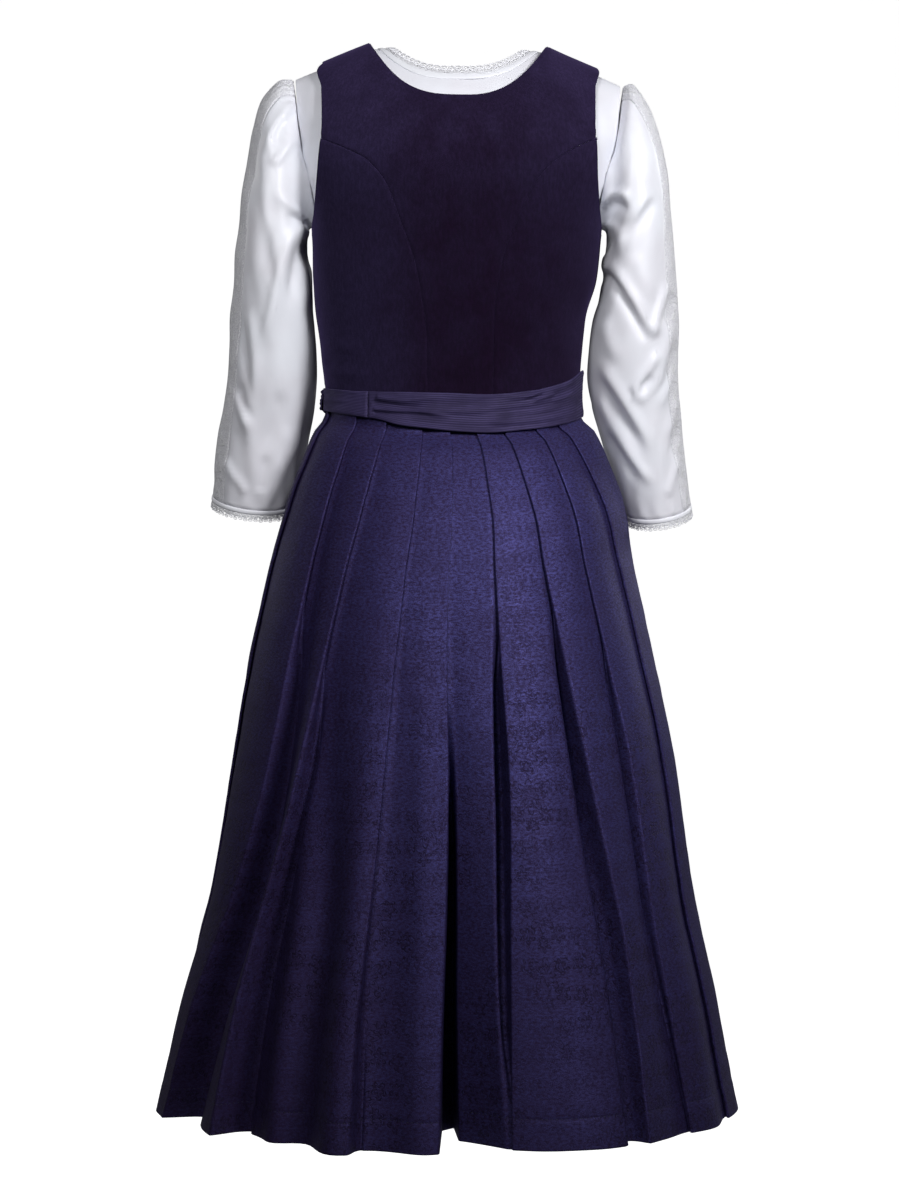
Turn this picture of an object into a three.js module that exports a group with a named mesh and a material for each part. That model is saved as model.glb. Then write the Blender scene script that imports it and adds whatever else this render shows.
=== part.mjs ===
// A dirndl set as it hangs on a wearer's shoulders: velvet bodice, pleated jacquard skirt, apron with its
// tied band, and a white blouse with lace. Millimetres, +Z up. The wearer's back faces -Y, the front +Y and
// the right hand +X. The origin lies between the shoulders, at the height of the seams' neck ends.
import * as THREE from 'three';

// ---- Driving sizes -------------------------------------------------------------------------------------
const SEAM_HALF = 0.2;         // each piece stops this far from the seam line
const WAIST_GAP = 0.9;         // the skirt starts this far below the waist seam's line
const VELVET = 1.8;            // velvet with its lining
const COTTON = 1.0;            // blouse cloth
const JACQUARD = 1.2;          // skirt cloth
const PLISSE = 1.2;            // ribbed apron cloth
const LACE = 1.0;              // insertion and edging
const BLOUSE_EASE = 5.8;       // air between the bodice's inside and the blouse
const BAND_EASE = 1.0;         // air between the waist and the apron band
const APRON_EASE = 2.2;        // air between the skirt and the apron

const YOKE_Z = -150;           // above this height the body closes over the shoulders
const YOKE_CLIMB = 155;        // length of the way from there up to the shoulder seam
const NECK_HALF = 99.5;        // bodice neck, half width at the shoulder seam
const SHOULDER_TIP = 157;      // bodice shoulder, half width
const SHOULDER_FALL = 0.42;    // drop of the shoulder for each millimetre outwards
const NECK_RISE = 0.1;         // rise of the blouse from the bodice's neck end inwards
const SHOULDER_TOP = 5;        // height of the shoulder seam at the bodice's neck
const WEARER_TILT = 0.02;      // the wearer's right shoulder is the lower one
const BACK_NECK_Z = -67;       // lowest point of the bodice's back neckline
const FRONT_NECK_Z = -168;     // lowest point of its front neckline
const NECK_CURVE = 2.8;        // exponent of the necklines
const BLOUSE_NECK_HALF = 84;
const BLOUSE_BACK_NECK_Z = -33;
const BLOUSE_FRONT_NECK_Z = -84;
const BLOUSE_HEM_Z = -290;     // the blouse ends under the bust, inside the bodice
const BLOUSE_TIP = 184;        // blouse shoulder, half width at the sleeve seam

const WAIST_Z = -392;          // waist seam at the sides and in front
const WAIST_DIP = 24;          // the seam falls this much towards the centre back
const HEM_Z = -1180;
const APRON_HEM_Z = -1140;

// ---- Section tables ------------------------------------------------------------------------------------
// Body under the bodice: half width, depth behind and in front, sideways lean of the middle, and how square
// the section is, 2 for an ellipse.
const TORSO = [
  { z: -440, half: 142, back: 94, front: 95, lean: -6.5, square: 2 },
  { z: -392, half: 142, back: 94, front: 95, lean: -6.5, square: 2 },
  { z: -347, half: 145.5, back: 97, front: 99, lean: -7.5, square: 2.05 },
  { z: -302, half: 150.5, back: 104, front: 109, lean: -7.5, square: 2.15 },
  { z: -258, half: 158, back: 110, front: 122, lean: -3.5, square: 2.3 },
  { z: -206, half: 162, back: 115, front: 125, lean: -1.5, square: 2.4 },
  { z: -150, half: 176, back: 118, front: 112, lean: -1, square: 2.4 },
  { z: -100, half: 188, back: 111, front: 96, lean: 0, square: 2.4 },
  { z: -50, half: 198, back: 96, front: 78, lean: 0, square: 2.4 },
  { z: 20, half: 206, back: 74, front: 62, lean: 0, square: 2.4 },
];

// Skirt without its pleats; z is the height at the side, the back falls with the waist seam.
const SKIRT = [
  { z: -1180, half: 322, back: 275, front: 258, lean: -14 },
  { z: -1064, half: 299, back: 254, front: 240, lean: -12 },
  { z: -930, half: 268, back: 231, front: 219, lean: -8 },
  { z: -795, half: 247, back: 205, front: 195, lean: -6 },
  { z: -661, half: 222, back: 176, front: 168, lean: -8 },
  { z: -571, half: 202, back: 155, front: 150, lean: -7 },
  { z: -504, half: 187, back: 137, front: 134, lean: -3 },
  { z: -459, half: 171, back: 121, front: 120, lean: -3 },
  { z: -425, half: 156, back: 106, front: 106, lean: -4 },
  { z: -409, half: 142.3, back: 94.3, front: 95.3, lean: -6.5 },
  { z: -392, half: 142, back: 94, front: 95, lean: -6.5 },
];

// Armhole edge of the bodice and sleeve seam of the blouse, as half widths.
const ARMHOLE = [
  { z: -206, x: 162 }, { z: -185, x: 157.5 }, { z: -165, x: 155 }, { z: -143, x: 153 },
  { z: -122, x: 151 }, { z: -97, x: 148.5 }, { z: -49, x: 150.5 }, { z: -19, x: 157 },
];
const SLEEVE_SEAM = [
  { z: -198, x: 163 }, { z: -180, x: 165.5 }, { z: -150, x: 170 }, { z: -115, x: 178 },
  { z: -80, x: 181 }, { z: -30, x: 184 },
];

// Princess seams: from the armhole to the waist behind, and from the shoulder to the waist in front.
const BACK_SEAM_LEFT = [
  { z: -420, x: -33 }, { z: -330, x: -34 }, { z: -290, x: -39 }, { z: -246, x: -48.5 }, { z: -205, x: -63 },
  { z: -167, x: -78 }, { z: -138, x: -101.5 }, { z: -124, x: -126 }, { z: -112, x: -149.5 },
];
const BACK_SEAM_RIGHT = [
  { z: -420, x: 38 }, { z: -330, x: 38.5 }, { z: -290, x: 41 }, { z: -246, x: 48.5 }, { z: -205, x: 65 },
  { z: -163, x: 85 }, { z: -134, x: 113 }, { z: -122, x: 131 }, { z: -112, x: 149.5 },
];
const FRONT_SEAM = [
  { z: -420, x: 52 }, { z: -330, x: 60 }, { z: -280, x: 72 }, { z: -225, x: 86 }, { z: -190, x: 94 },
  { z: -140, x: 104 }, { z: -100, x: 111 }, { z: -50, x: 120 }, { z: -5, x: 128 },
];

// Sleeve rings from the shoulder to the cuff: outer and inner ends, middle depth, half depth, and how much
// lower the back of the ring lies than its middle.
const SLEEVE_LEFT = [
  { outX: -202, outZ: -36, inX: -166.5, inZ: -201, y: 1, deep: 52, fall: 0 },
  { outX: -217, outZ: -52, inX: -168.5, inZ: -211, y: 2, deep: 60, fall: 0 },
  { outX: -230, outZ: -88, inX: -168.5, inZ: -226, y: 4, deep: 66, fall: 0 },
  { outX: -239, outZ: -132, inX: -166.5, inZ: -248, y: 7, deep: 68, fall: 0 },
  { outX: -245, outZ: -186, inX: -165, inZ: -276, y: 10, deep: 66, fall: 0 },
  { outX: -250, outZ: -242, inX: -161.5, inZ: -310, y: 15, deep: 63, fall: 1 },
  { outX: -256, outZ: -300, inX: -160, inZ: -347, y: 23, deep: 60, fall: 3 },
  { outX: -263, outZ: -360, inX: -162.5, inZ: -387, y: 34, deep: 57, fall: 6 },
  { outX: -270, outZ: -415, inX: -169, inZ: -431, y: 46, deep: 53, fall: 9 },
  { outX: -276, outZ: -461, inX: -178, inZ: -474, y: 57, deep: 50, fall: 12 },
  { outX: -280, outZ: -495, inX: -188, inZ: -506, y: 66, deep: 46, fall: 14 },
];
const SLEEVE_RIGHT = [
  { outX: 196, outZ: -41, inX: 165, inZ: -203, y: 1, deep: 52, fall: 0 },
  { outX: 208, outZ: -58, inX: 166, inZ: -212, y: 2, deep: 60, fall: 0 },
  { outX: 222, outZ: -90, inX: 165.5, inZ: -227, y: 4, deep: 66, fall: 0 },
  { outX: 233, outZ: -132, inX: 163.5, inZ: -247, y: 7, deep: 68, fall: 0 },
  { outX: 239, outZ: -186, inX: 160, inZ: -272, y: 10, deep: 66, fall: 0 },
  { outX: 244, outZ: -242, inX: 152.5, inZ: -305, y: 15, deep: 63, fall: 1 },
  { outX: 248, outZ: -300, inX: 147, inZ: -342, y: 23, deep: 60, fall: 3 },
  { outX: 250, outZ: -360, inX: 150, inZ: -385, y: 34, deep: 57, fall: 6 },
  { outX: 254, outZ: -415, inX: 163, inZ: -431, y: 46, deep: 53, fall: 9 },
  { outX: 260, outZ: -465, inX: 178, inZ: -478, y: 57, deep: 50, fall: 12 },
  { outX: 266, outZ: -505, inX: 190, inZ: -516, y: 66, deep: 46, fall: 14 },
];

// Knife pleats round the skirt. Angles run from the centre back, minus to the wearer's left. lap 1: the panel
// before the line lies on top; lap -1: the panel after it. mouth: width of the opening; deep: how far its
// bottom lies inside; land: how far inside the covered panel comes out.
const PLEATS = [
  { lap: -1, waist: -137, hip: -138, thigh: -140, knee: -142, hem: -143, mouthThigh: 2, mouthKnee: 4,
    mouthHem: 6, deepThigh: 7, deepHem: 12, landHem: 6 },
  { lap: -1, waist: -104, hip: -107, thigh: -112, knee: -117, hem: -120, mouthThigh: 3, mouthKnee: 6,
    mouthHem: 10, deepThigh: 9, deepHem: 16, landHem: 7 },
  { lap: 1, waist: -82, hip: -87, thigh: -93, knee: -99, hem: -103, mouthThigh: 4, mouthKnee: 8,
    mouthHem: 12, deepThigh: 10, deepHem: 18, landHem: 7 },
  { lap: 1, waist: -62, hip: -69, thigh: -78, knee: -88, hem: -91, mouthThigh: 5, mouthKnee: 9,
    mouthHem: 12, deepThigh: 11, deepHem: 18, landHem: 7 },
  { lap: 1, waist: -44, hip: -50, thigh: -62, knee: -75, hem: -79, mouthThigh: 17, mouthKnee: 24,
    mouthHem: 28, deepThigh: 17, deepHem: 26, landHem: 9 },
  { lap: 1, waist: -28, hip: -35, thigh: -39, knee: -47, hem: -46, mouthThigh: 4, mouthKnee: 9,
    mouthHem: 14, deepThigh: 9, deepHem: 15, landHem: 11 },
  { lap: 1, waist: -13, hip: -15, thigh: -15, knee: -17.5, hem: -16, mouthThigh: 1.5, mouthKnee: 3,
    mouthHem: 4, deepThigh: 8, deepHem: 12, landHem: 9 },
  { lap: 1, waist: -1, hip: -1, thigh: -1, knee: -1, hem: -1, mouthThigh: 8, mouthKnee: 13,
    mouthHem: 30, deepThigh: 36, deepHem: 104, landHem: 50 },
  { lap: -1, waist: 10, hip: 15, thigh: 16, knee: 14, hem: 12, mouthThigh: 20, mouthKnee: 13,
    mouthHem: 3, deepThigh: 19, deepHem: 7, landHem: 3 },
  { lap: -1, waist: 22, hip: 31, thigh: 36, knee: 41, hem: 39, mouthThigh: 23, mouthKnee: 33,
    mouthHem: 20, deepThigh: 19, deepHem: 15, landHem: 3 },
  { lap: -1, waist: 38, hip: 47, thigh: 52, knee: 53, hem: 54, mouthThigh: 2, mouthKnee: 3,
    mouthHem: 5, deepThigh: 7, deepHem: 10, landHem: 6 },
  { lap: -1, waist: 52, hip: 67, thigh: 71, knee: 71, hem: 70, mouthThigh: 3, mouthKnee: 5,
    mouthHem: 8, deepThigh: 9, deepHem: 13, landHem: 6 },
  { lap: -1, waist: 69, hip: 82, thigh: 86, knee: 87, hem: 87, mouthThigh: 4, mouthKnee: 7,
    mouthHem: 10, deepThigh: 10, deepHem: 16, landHem: 7 },
  { lap: 1, waist: 104, hip: 107, thigh: 109, knee: 110, hem: 111, mouthThigh: 3, mouthKnee: 6,
    mouthHem: 10, deepThigh: 9, deepHem: 15, landHem: 7 },
  { lap: 1, waist: 137, hip: 138, thigh: 139, knee: 140, hem: 141, mouthThigh: 2, mouthKnee: 4,
    mouthHem: 6, deepThigh: 7, deepHem: 12, landHem: 6 },
];
const STATIONS = { waist: 0, hip: 0.26, thigh: 0.52, knee: 0.75, hem: 1 };
const TUCK = 9;                // how far a closed pleat's inner fold lies under its edge
const FLAT_EDGE = 14;          // stretch beside a closed pleat's edge that stays flat, over the tuck
const FOLD_AIR = 0.5;          // air between the layers of a closed pleat
const OPEN_MOUTH = 8;          // a pleat's mouth of this width is no longer folded back under its edge

// Soft folds that push the lower skirt out (plus) or in (minus): middle and half width in degrees, and the
// push at the hem.
const SOFT_FOLDS = [
  { angle: -20, width: 8, push: 24 },
  { angle: -33, width: 6, push: -8 },
  { angle: 8, width: 9, push: -22 },
  { angle: 34, width: 10, push: 16 },
];
const SOFT_START = 0.3;        // the soft folds grow from this share of the length

// Rows down the skirt, as shares of the length from the waist seam to the hem.
const SKIRT_ROWS = [0, 0.0216, 0.045, 0.11, 0.227, 0.4, 0.6, 0.8, 1];
const SIDE_SEAM = { leftWaist: -93, leftHem: -112, rightWaist: 88, rightHem: 99 };

// Apron band and ties: upper and lower edges round the waist, by the angle from the centre back, and how far
// the lower edge stands out over the gathers below it.
const BAND = [
  { z: -180, top: -374, bottom: -409, flare: 0.6 }, { z: -120, top: -376, bottom: -408, flare: 0.6 },
  { z: -90, top: -379, bottom: -405, flare: 0.6 }, { z: -39, top: -388, bottom: -413.5, flare: 0.8 },
  { z: 0, top: -401, bottom: -434, flare: 2.5 }, { z: 18, top: -402, bottom: -434, flare: 3 },
  { z: 36, top: -392, bottom: -430, flare: 3.4 }, { z: 60, top: -379, bottom: -418, flare: 3.4 },
  { z: 90, top: -365, bottom: -403, flare: 1.5 }, { z: 120, top: -367, bottom: -403, flare: 0.6 },
  { z: 180, top: -374, bottom: -405, flare: 0.6 }, { z: 210, top: -380, bottom: -400, flare: 0.6 },
];

// ---- Colours -------------------------------------------------------------------------------------------
const finish = (color, roughness) => new THREE.MeshStandardMaterial({ color, roughness, metalness: 0 });
const VELVET_FINISH = finish(0x271c35, 0.85);
const JACQUARD_FINISH = finish(0x2b294a, 0.7);
const APRON_FINISH = finish(0x362f4c, 0.75);
const COTTON_FINISH = finish(0xdfe2ec, 0.5);
const LACE_FINISH = finish(0xeceef2, 0.85);
const BUTTON_FINISH = finish(0x4a4560, 0.4);

// ---- Small tools ---------------------------------------------------------------------------------------
const rad = THREE.MathUtils.degToRad;
const lerp = THREE.MathUtils.lerp;
const clamp = THREE.MathUtils.clamp;
const smooth = (t) => { const k = clamp(t, 0, 1); return k * k * (3 - 2 * k); };
const steps = (count) => Array.from({ length: count + 1 }, (_, i) => i / count);
const signedPower = (value, exponent) => Math.sign(value) * Math.abs(value) ** exponent;

// Reads one column of a table at a height, through its rows with a smooth curve. Rows rise with z.
function read(table, column, z) {
  const rows = table[0].z < table[1].z ? table : [...table].reverse();
  const last = rows.length - 1;
  if (z <= rows[0].z) return rows[0][column];
  if (z >= rows[last].z) return rows[last][column];
  let i = 0;
  while (rows[i + 1].z < z) i += 1;
  const slope = (a, b) => (rows[b][column] - rows[a][column]) / (rows[b].z - rows[a].z);
  const inner = slope(i, i + 1);
  // A tangent is the neighbours' mean slope, and flat where the column turns.
  const tangent = (a, b, c) => {
    if (a < 0 || c > last) return inner;
    const before = slope(a, b);
    const after = slope(b, c);
    return before * after <= 0 ? 0 : 2 * before * after / (before + after);
  };
  const span = rows[i + 1].z - rows[i].z;
  const t = (z - rows[i].z) / span;
  const startSlope = tangent(i - 1, i, i + 1) * span;
  const endSlope = tangent(i, i + 1, i + 2) * span;
  return (1 + 2 * t) * (1 - t) ** 2 * rows[i][column] + t * (1 - t) ** 2 * startSlope
    + t * t * (3 - 2 * t) * rows[i + 1][column] - t * t * (1 - t) * endSlope;
}

// A closed wall from rows of outer points, each with the way out of the cloth. A ring's rows join end to end.
function wall(name, rows, thickness, material, ring = false) {
  const height = rows.length;
  const width = rows[0].length;
  const spots = [];
  for (const row of rows) for (const { at } of row) spots.push(at.x, at.y, at.z);
  for (const row of rows) {
    for (const { at, out } of row) {
      const inner = at.clone().addScaledVector(out, -thickness);
      spots.push(inner.x, inner.y, inner.z);
    }
  }
  const outer = (r, c) => r * width + c % width;
  const inner = (r, c) => height * width + outer(r, c);
  const faces = [];
  const quad = (a, b, c, d) => faces.push(a, b, c, a, c, d);
  const spans = ring ? width : width - 1;
  for (let r = 0; r < height - 1; r += 1) {
    for (let c = 0; c < spans; c += 1) {
      quad(outer(r, c), outer(r, c + 1), outer(r + 1, c + 1), outer(r + 1, c));
      quad(inner(r, c), inner(r + 1, c), inner(r + 1, c + 1), inner(r, c + 1));
    }
    if (!ring) {
      quad(outer(r, 0), outer(r + 1, 0), inner(r + 1, 0), inner(r, 0));
      quad(outer(r, width - 1), inner(r, width - 1), inner(r + 1, width - 1), outer(r + 1, width - 1));
    }
  }
  for (let c = 0; c < spans; c += 1) {
    quad(outer(0, c), inner(0, c), inner(0, c + 1), outer(0, c + 1));
    quad(outer(height - 1, c), outer(height - 1, c + 1), inner(height - 1, c + 1), inner(height - 1, c));
  }
  return meshOf(name, spots, faces, material);
}

// A mesh whose faces are turned outwards if its volume comes out negative.
function meshOf(name, spots, faces, material) {
  const corner = (i) => new THREE.Vector3().fromArray(spots, 3 * faces[i]);
  let volume = 0;
  for (let i = 0; i < faces.length; i += 3) {
    volume += corner(i).dot(corner(i + 1).cross(corner(i + 2)));
  }
  if (volume < 0) {
    for (let i = 0; i < faces.length; i += 3) [faces[i], faces[i + 1]] = [faces[i + 1], faces[i]];
  }
  const geometry = new THREE.BufferGeometry();
  geometry.setAttribute('position', new THREE.Float32BufferAttribute(spots, 3));
  geometry.setIndex(faces);
  geometry.computeVertexNormals();
  const mesh = new THREE.Mesh(geometry, material);
  mesh.name = name;
  return mesh;
}

// Ways out of a grid of points, from its neighbours; ring rows join end to end.
function withNormals(grid, ring = false) {
  const width = grid[0].length;
  return grid.map((row, r) => row.map((at, c) => {
    const left = ring ? row[(c + width - 1) % width] : row[Math.max(c - 1, 0)];
    const right = ring ? row[(c + 1) % width] : row[Math.min(c + 1, width - 1)];
    const above = grid[Math.max(r - 1, 0)][c];
    const below = grid[Math.min(r + 1, grid.length - 1)][c];
    const out = right.clone().sub(left).cross(above.clone().sub(below)).normalize();
    return { at, out };
  }));
}

// ---- The body's form -----------------------------------------------------------------------------------
// Height of the shoulder ridge across the body.
function ridge(x) {
  const beyond = Math.abs(x) - NECK_HALF;
  const fall = beyond > 0 ? SHOULDER_FALL * beyond : NECK_RISE * beyond;
  return SHOULDER_TOP - fall - WEARER_TILT * x;
}

// A place on one half of the body is an angle of -90 to 90 degrees across it and a climb in millimetres:
// minus below the yoke, and from 0 to YOKE_CLIMB up to the ridge. face: -1 behind, 1 in front.
function bodyPoint(face, { angle, climb }) {
  const turn = rad(90 * Math.max(climb, 0) / YOKE_CLIMB);
  const level = climb < 0 ? YOKE_Z + climb : lerp(YOKE_Z, 0, Math.sin(turn));
  const power = 2 / read(TORSO, 'square', level);
  const x = read(TORSO, 'lean', level) + read(TORSO, 'half', level) * signedPower(Math.sin(rad(angle)), power);
  const z = climb < 0 ? level : lerp(YOKE_Z, ridge(x), Math.sin(turn));
  const depth = read(TORSO, face < 0 ? 'back' : 'front', level) * Math.cos(turn);
  return new THREE.Vector3(x, face * depth * Math.abs(Math.cos(rad(angle))) ** power, z);
}

// The place on the body that is seen at x and z.
function bodyPlace(x, z) {
  const rise = clamp((z - YOKE_Z) / (ridge(x) - YOKE_Z), 0, 1);
  const level = Math.min(z, lerp(YOKE_Z, 0, rise));
  const climb = z < YOKE_Z ? z - YOKE_Z : YOKE_CLIMB * THREE.MathUtils.radToDeg(Math.asin(rise)) / 90;
  const across = clamp((x - read(TORSO, 'lean', level)) / read(TORSO, 'half', level), -1, 1);
  const angle = THREE.MathUtils.radToDeg(Math.asin(signedPower(across, read(TORSO, 'square', level) / 2)));
  return { angle, climb };
}

// A point at a distance from the body, with the way out of the body there.
function bodySpot(face, { angle, climb }, distance) {
  const turned = (by) => bodyPoint(face, { angle: clamp(angle, -89.5, 89.5) + by, climb });
  const raised = (by) => bodyPoint(face, { angle, climb: Math.min(climb + by, YOKE_CLIMB) });
  const across = turned(0.5).sub(turned(-0.5));
  const out = across.cross(raised(0.6).sub(raised(-0.6))).multiplyScalar(-face).normalize();
  return { at: bodyPoint(face, { angle, climb }).addScaledVector(out, distance), out };
}

// Height of the waist seam, by the angle from the centre back.
function waistSeam(angle) {
  return WAIST_Z - WAIST_DIP * Math.max(Math.cos(rad(angle)), 0) ** 1.5;
}

// Height of a neckline that rises from its lowest point to the shoulder ridge at its half width.
function neckline(x, half, lowest) {
  return lerp(lowest, ridge(Math.sign(x) * half), Math.min(Math.abs(x) / half, 1) ** NECK_CURVE);
}

// ---- Edges of the bodice's and the blouse's panels, from the bottom up ---------------------------------
const SHOULDER_SEAM = YOKE_CLIMB * 0.997;

// A seam's places at some heights, moved sideways off the seam line.
function seamEdge(table, heights, side, shift) {
  const at = (z) => side * read(table, 'x', z);
  return heights.map((z) => {
    const lean = at(z + 1) - at(z - 1);
    const length = Math.hypot(lean, 2);
    return bodyPlace(at(z) + shift * 2 / length, z - shift * lean / length);
  });
}

// Side seam below the armhole's lowest point, and the armhole's edge above it.
function sideEdge(table, heights, side) {
  return heights.map((z) => {
    if (z <= table[0].z) return { angle: side * 89.94, climb: z - YOKE_Z };
    return bodyPlace(read(TORSO, 'lean', z) + side * read(table, 'x', z), z);
  });
}

// An edge from a height up to the shoulder seam, in steps of the climb, moved sideways by the shift.
function shoulderEdge(table, z, side, shares, shift = 0) {
  const low = bodyPlace(0, z).climb;
  const top = side * table.at(-1).x;
  return shares.map((share) => {
    const climb = lerp(low, SHOULDER_SEAM, share);
    const height = climb < 0 ? YOKE_Z + climb : lerp(YOKE_Z, ridge(top), Math.sin(rad(90 * climb / YOKE_CLIMB)));
    const x = share < 1 ? read(TORSO, 'lean', height) + side * read(table, 'x', height) : top;
    return { angle: bodyPlace(x + shift, height).angle, climb };
  });
}

// A panel of the body between a left and a right edge. columns: each with its share of the way across, and
// the place where it ends if the rows above `split` have to follow a neckline; those rows keep step with
// `guide`, the edge that goes on up to the shoulder.
function bodyPanel({ name, face, left, right, columns, split = Infinity, guide = left, waist, distance = 0, cloth }) {
  const rows = left.map((start, r) => columns.map(({ share, end }) => {
    let angle = lerp(start.angle, right[r].angle, share);
    let climb = lerp(start.climb, right[r].climb, share);
    if (r > split) {
      const rise = (guide[r].climb - guide[split].climb) / (guide.at(-1).climb - guide[split].climb);
      const bend = (edge) => edge[r].angle - lerp(edge[split].angle, edge.at(-1).angle, rise);
      climb = lerp(guide[split].climb, end.climb, rise);
      angle = lerp(lerp(left[split].angle, right[split].angle, share), end.angle, rise)
        + bend(left) * (1 - share) ** 4 + bend(right) * share ** 4;
    }
    if (waist && r === 0) climb = waistSeam(face < 0 ? angle : 180) + SEAM_HALF - YOKE_Z;
    return bodySpot(face, { angle, climb }, distance);
  }));
  return wall(name, rows, cloth.thick, cloth.finish);
}

// Columns that pass through given x places at the top, each ending at the height that `end` gives.
function columnsAt(places, end) {
  const angles = places.map((x) => bodyPlace(x, ridge(x)).angle);
  const across = angles.at(-1) - angles[0];
  return places.map((x, i) => {
    const place = bodyPlace(x, end(x));
    return { share: (angles[i] - angles[0]) / across, end: { ...place, climb: Math.min(place.climb, SHOULDER_SEAM) } };
  });
}

// Columns of a side panel, closer together towards its side seam. side: where that seam is.
const sideColumns = (side) => {
  const shares = [0, 0.13, 0.34, 0.64, 1];
  return (side < 0 ? shares : shares.map((share) => 1 - share).reverse()).map((share) => ({ share }));
};
const mirrored = (places) => [...places.map((x) => -x), 0, ...[...places].reverse()];

// ---- Bodice --------------------------------------------------------------------------------------------
const BODICE_CLOTH = { thick: VELVET, finish: VELVET_FINISH };
const BACK_ROWS = [-400, -384, -360, -318, -280, -243, -206, -172, -146, -126, -112];
const FRONT_ROWS = [-392, -376, -350, -325, -300, -279, -258, -222, -190];
const BACK_SHARES = [0.3, 0.55, 0.74, 0.88, 1];
const FRONT_SHARES = [0.12, 0.25, 0.39, 0.53, 0.67, 0.8, 0.91, 1];
const NECK_SHARES = [1, 0.93, 0.81, 0.6, 0.32];   // columns of a neck's half width

function bodiceBack() {
  const places = mirrored([SHOULDER_TIP, 129, ...NECK_SHARES.map((share) => share * NECK_HALF)]);
  const columns = columnsAt(places, (x) => neckline(x, NECK_HALF, BACK_NECK_Z));
  const centre = bodyPanel({
    name: 'bodice_back_centre', face: -1, columns, split: BACK_ROWS.length - 1, waist: true, cloth: BODICE_CLOTH,
    left: [...seamEdge(BACK_SEAM_LEFT, BACK_ROWS, 1, SEAM_HALF), ...shoulderEdge(ARMHOLE, -112, -1, BACK_SHARES)],
    right: [...seamEdge(BACK_SEAM_RIGHT, BACK_ROWS, 1, -SEAM_HALF), ...shoulderEdge(ARMHOLE, -112, 1, BACK_SHARES)],
  });
  const rows = [...BACK_ROWS.slice(0, -1), -114];
  const sideLeft = bodyPanel({
    name: 'bodice_back_side_left', face: -1, columns: sideColumns(-1), waist: true, cloth: BODICE_CLOTH,
    left: sideEdge(ARMHOLE, rows, -1), right: seamEdge(BACK_SEAM_LEFT, rows, 1, -SEAM_HALF),
  });
  const sideRight = bodyPanel({
    name: 'bodice_back_side_right', face: -1, columns: sideColumns(1), waist: true, cloth: BODICE_CLOTH,
    left: seamEdge(BACK_SEAM_RIGHT, rows, 1, SEAM_HALF), right: sideEdge(ARMHOLE, rows, 1),
  });
  return [centre, sideLeft, sideRight];
}

function bodiceFront(side, word) {
  const top = FRONT_ROWS.at(-1);
  const seam = (shift) => [...seamEdge(FRONT_SEAM, FRONT_ROWS, side, shift),
    ...shoulderEdge(FRONT_SEAM, top, side, FRONT_SHARES, shift)];
  const outer = seam(-side * SEAM_HALF);
  const middle = outer.map(({ climb }) => ({ angle: side * 0.1, climb }));
  const places = [0, ...[...NECK_SHARES].reverse().map((share) => share * NECK_HALF), FRONT_SEAM.at(-1).x];
  // Below the neckline the columns keep near their upper places, crowded together towards the seam.
  const inner = columnsAt(places, (x) => neckline(x, NECK_HALF, FRONT_NECK_Z)).map((column, i) => ({
    ...column, share: Math.min(places[i] / read(FRONT_SEAM, 'x', top), 1 - 0.3 * (1 - places[i] / places.at(-1))),
  }));
  const turned = ({ share, end: { angle, climb } }) => ({ share: 1 - share, end: { angle: -angle, climb } });
  const front = bodyPanel({
    name: `bodice_front_${word}`, face: 1, columns: side > 0 ? inner : [...inner].reverse().map(turned),
    split: FRONT_ROWS.length - 1, guide: outer, waist: true, cloth: BODICE_CLOTH,
    left: side > 0 ? middle : outer, right: side > 0 ? outer : middle,
  });
  const inside = seam(side * SEAM_HALF);
  const edge = [...sideEdge(ARMHOLE, FRONT_ROWS, side), ...shoulderEdge(ARMHOLE, top, side, FRONT_SHARES)];
  const flank = bodyPanel({
    name: `bodice_front_side_${word}`, face: 1, columns: sideColumns(side), waist: true,
    left: side > 0 ? inside : edge, right: side > 0 ? edge : inside, cloth: BODICE_CLOTH,
  });
  return [front, flank];
}

// ---- Blouse --------------------------------------------------------------------------------------------
const BLOUSE_CLOTH = { thick: COTTON, finish: COTTON_FINISH };
const BLOUSE_DEPTH = -(VELVET + BLOUSE_EASE);
const BLOUSE_ROWS = [BLOUSE_HEM_Z, -245, -198, -160, -115];
const BLOUSE_SHARES = [0.3, 0.6, 0.82, 1];
const BINDING_DEEP = 8;        // neck binding
const NECK_LACE_HIGH = 5.5;

// Neckline of the blouse at a height above its finished edge.
function blouseNeck(face, x, above) {
  const lowest = face < 0 ? BLOUSE_BACK_NECK_Z : BLOUSE_FRONT_NECK_Z;
  return neckline(x, BLOUSE_NECK_HALF - above * 0.9, lowest + above);
}

function blouseBody(face, word) {
  const below = -BINDING_DEEP - 2 * SEAM_HALF;
  const corner = BLOUSE_NECK_HALF - below * 0.9;
  const places = mirrored([BLOUSE_TIP, 160, 132, 108, ...NECK_SHARES.map((share) => share * corner)]);
  const columns = columnsAt(places, (x) => blouseNeck(face, x, below));
  const edges = [-1, 1].map((side) => [...sideEdge(SLEEVE_SEAM, BLOUSE_ROWS, side),
    ...shoulderEdge(SLEEVE_SEAM, BLOUSE_ROWS.at(-1), side, BLOUSE_SHARES)]);
  return bodyPanel({
    name: `blouse_${word}`, face, columns, split: BLOUSE_ROWS.length - 1, left: edges[0], right: edges[1],
    distance: BLOUSE_DEPTH, cloth: BLOUSE_CLOTH,
  });
}

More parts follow.
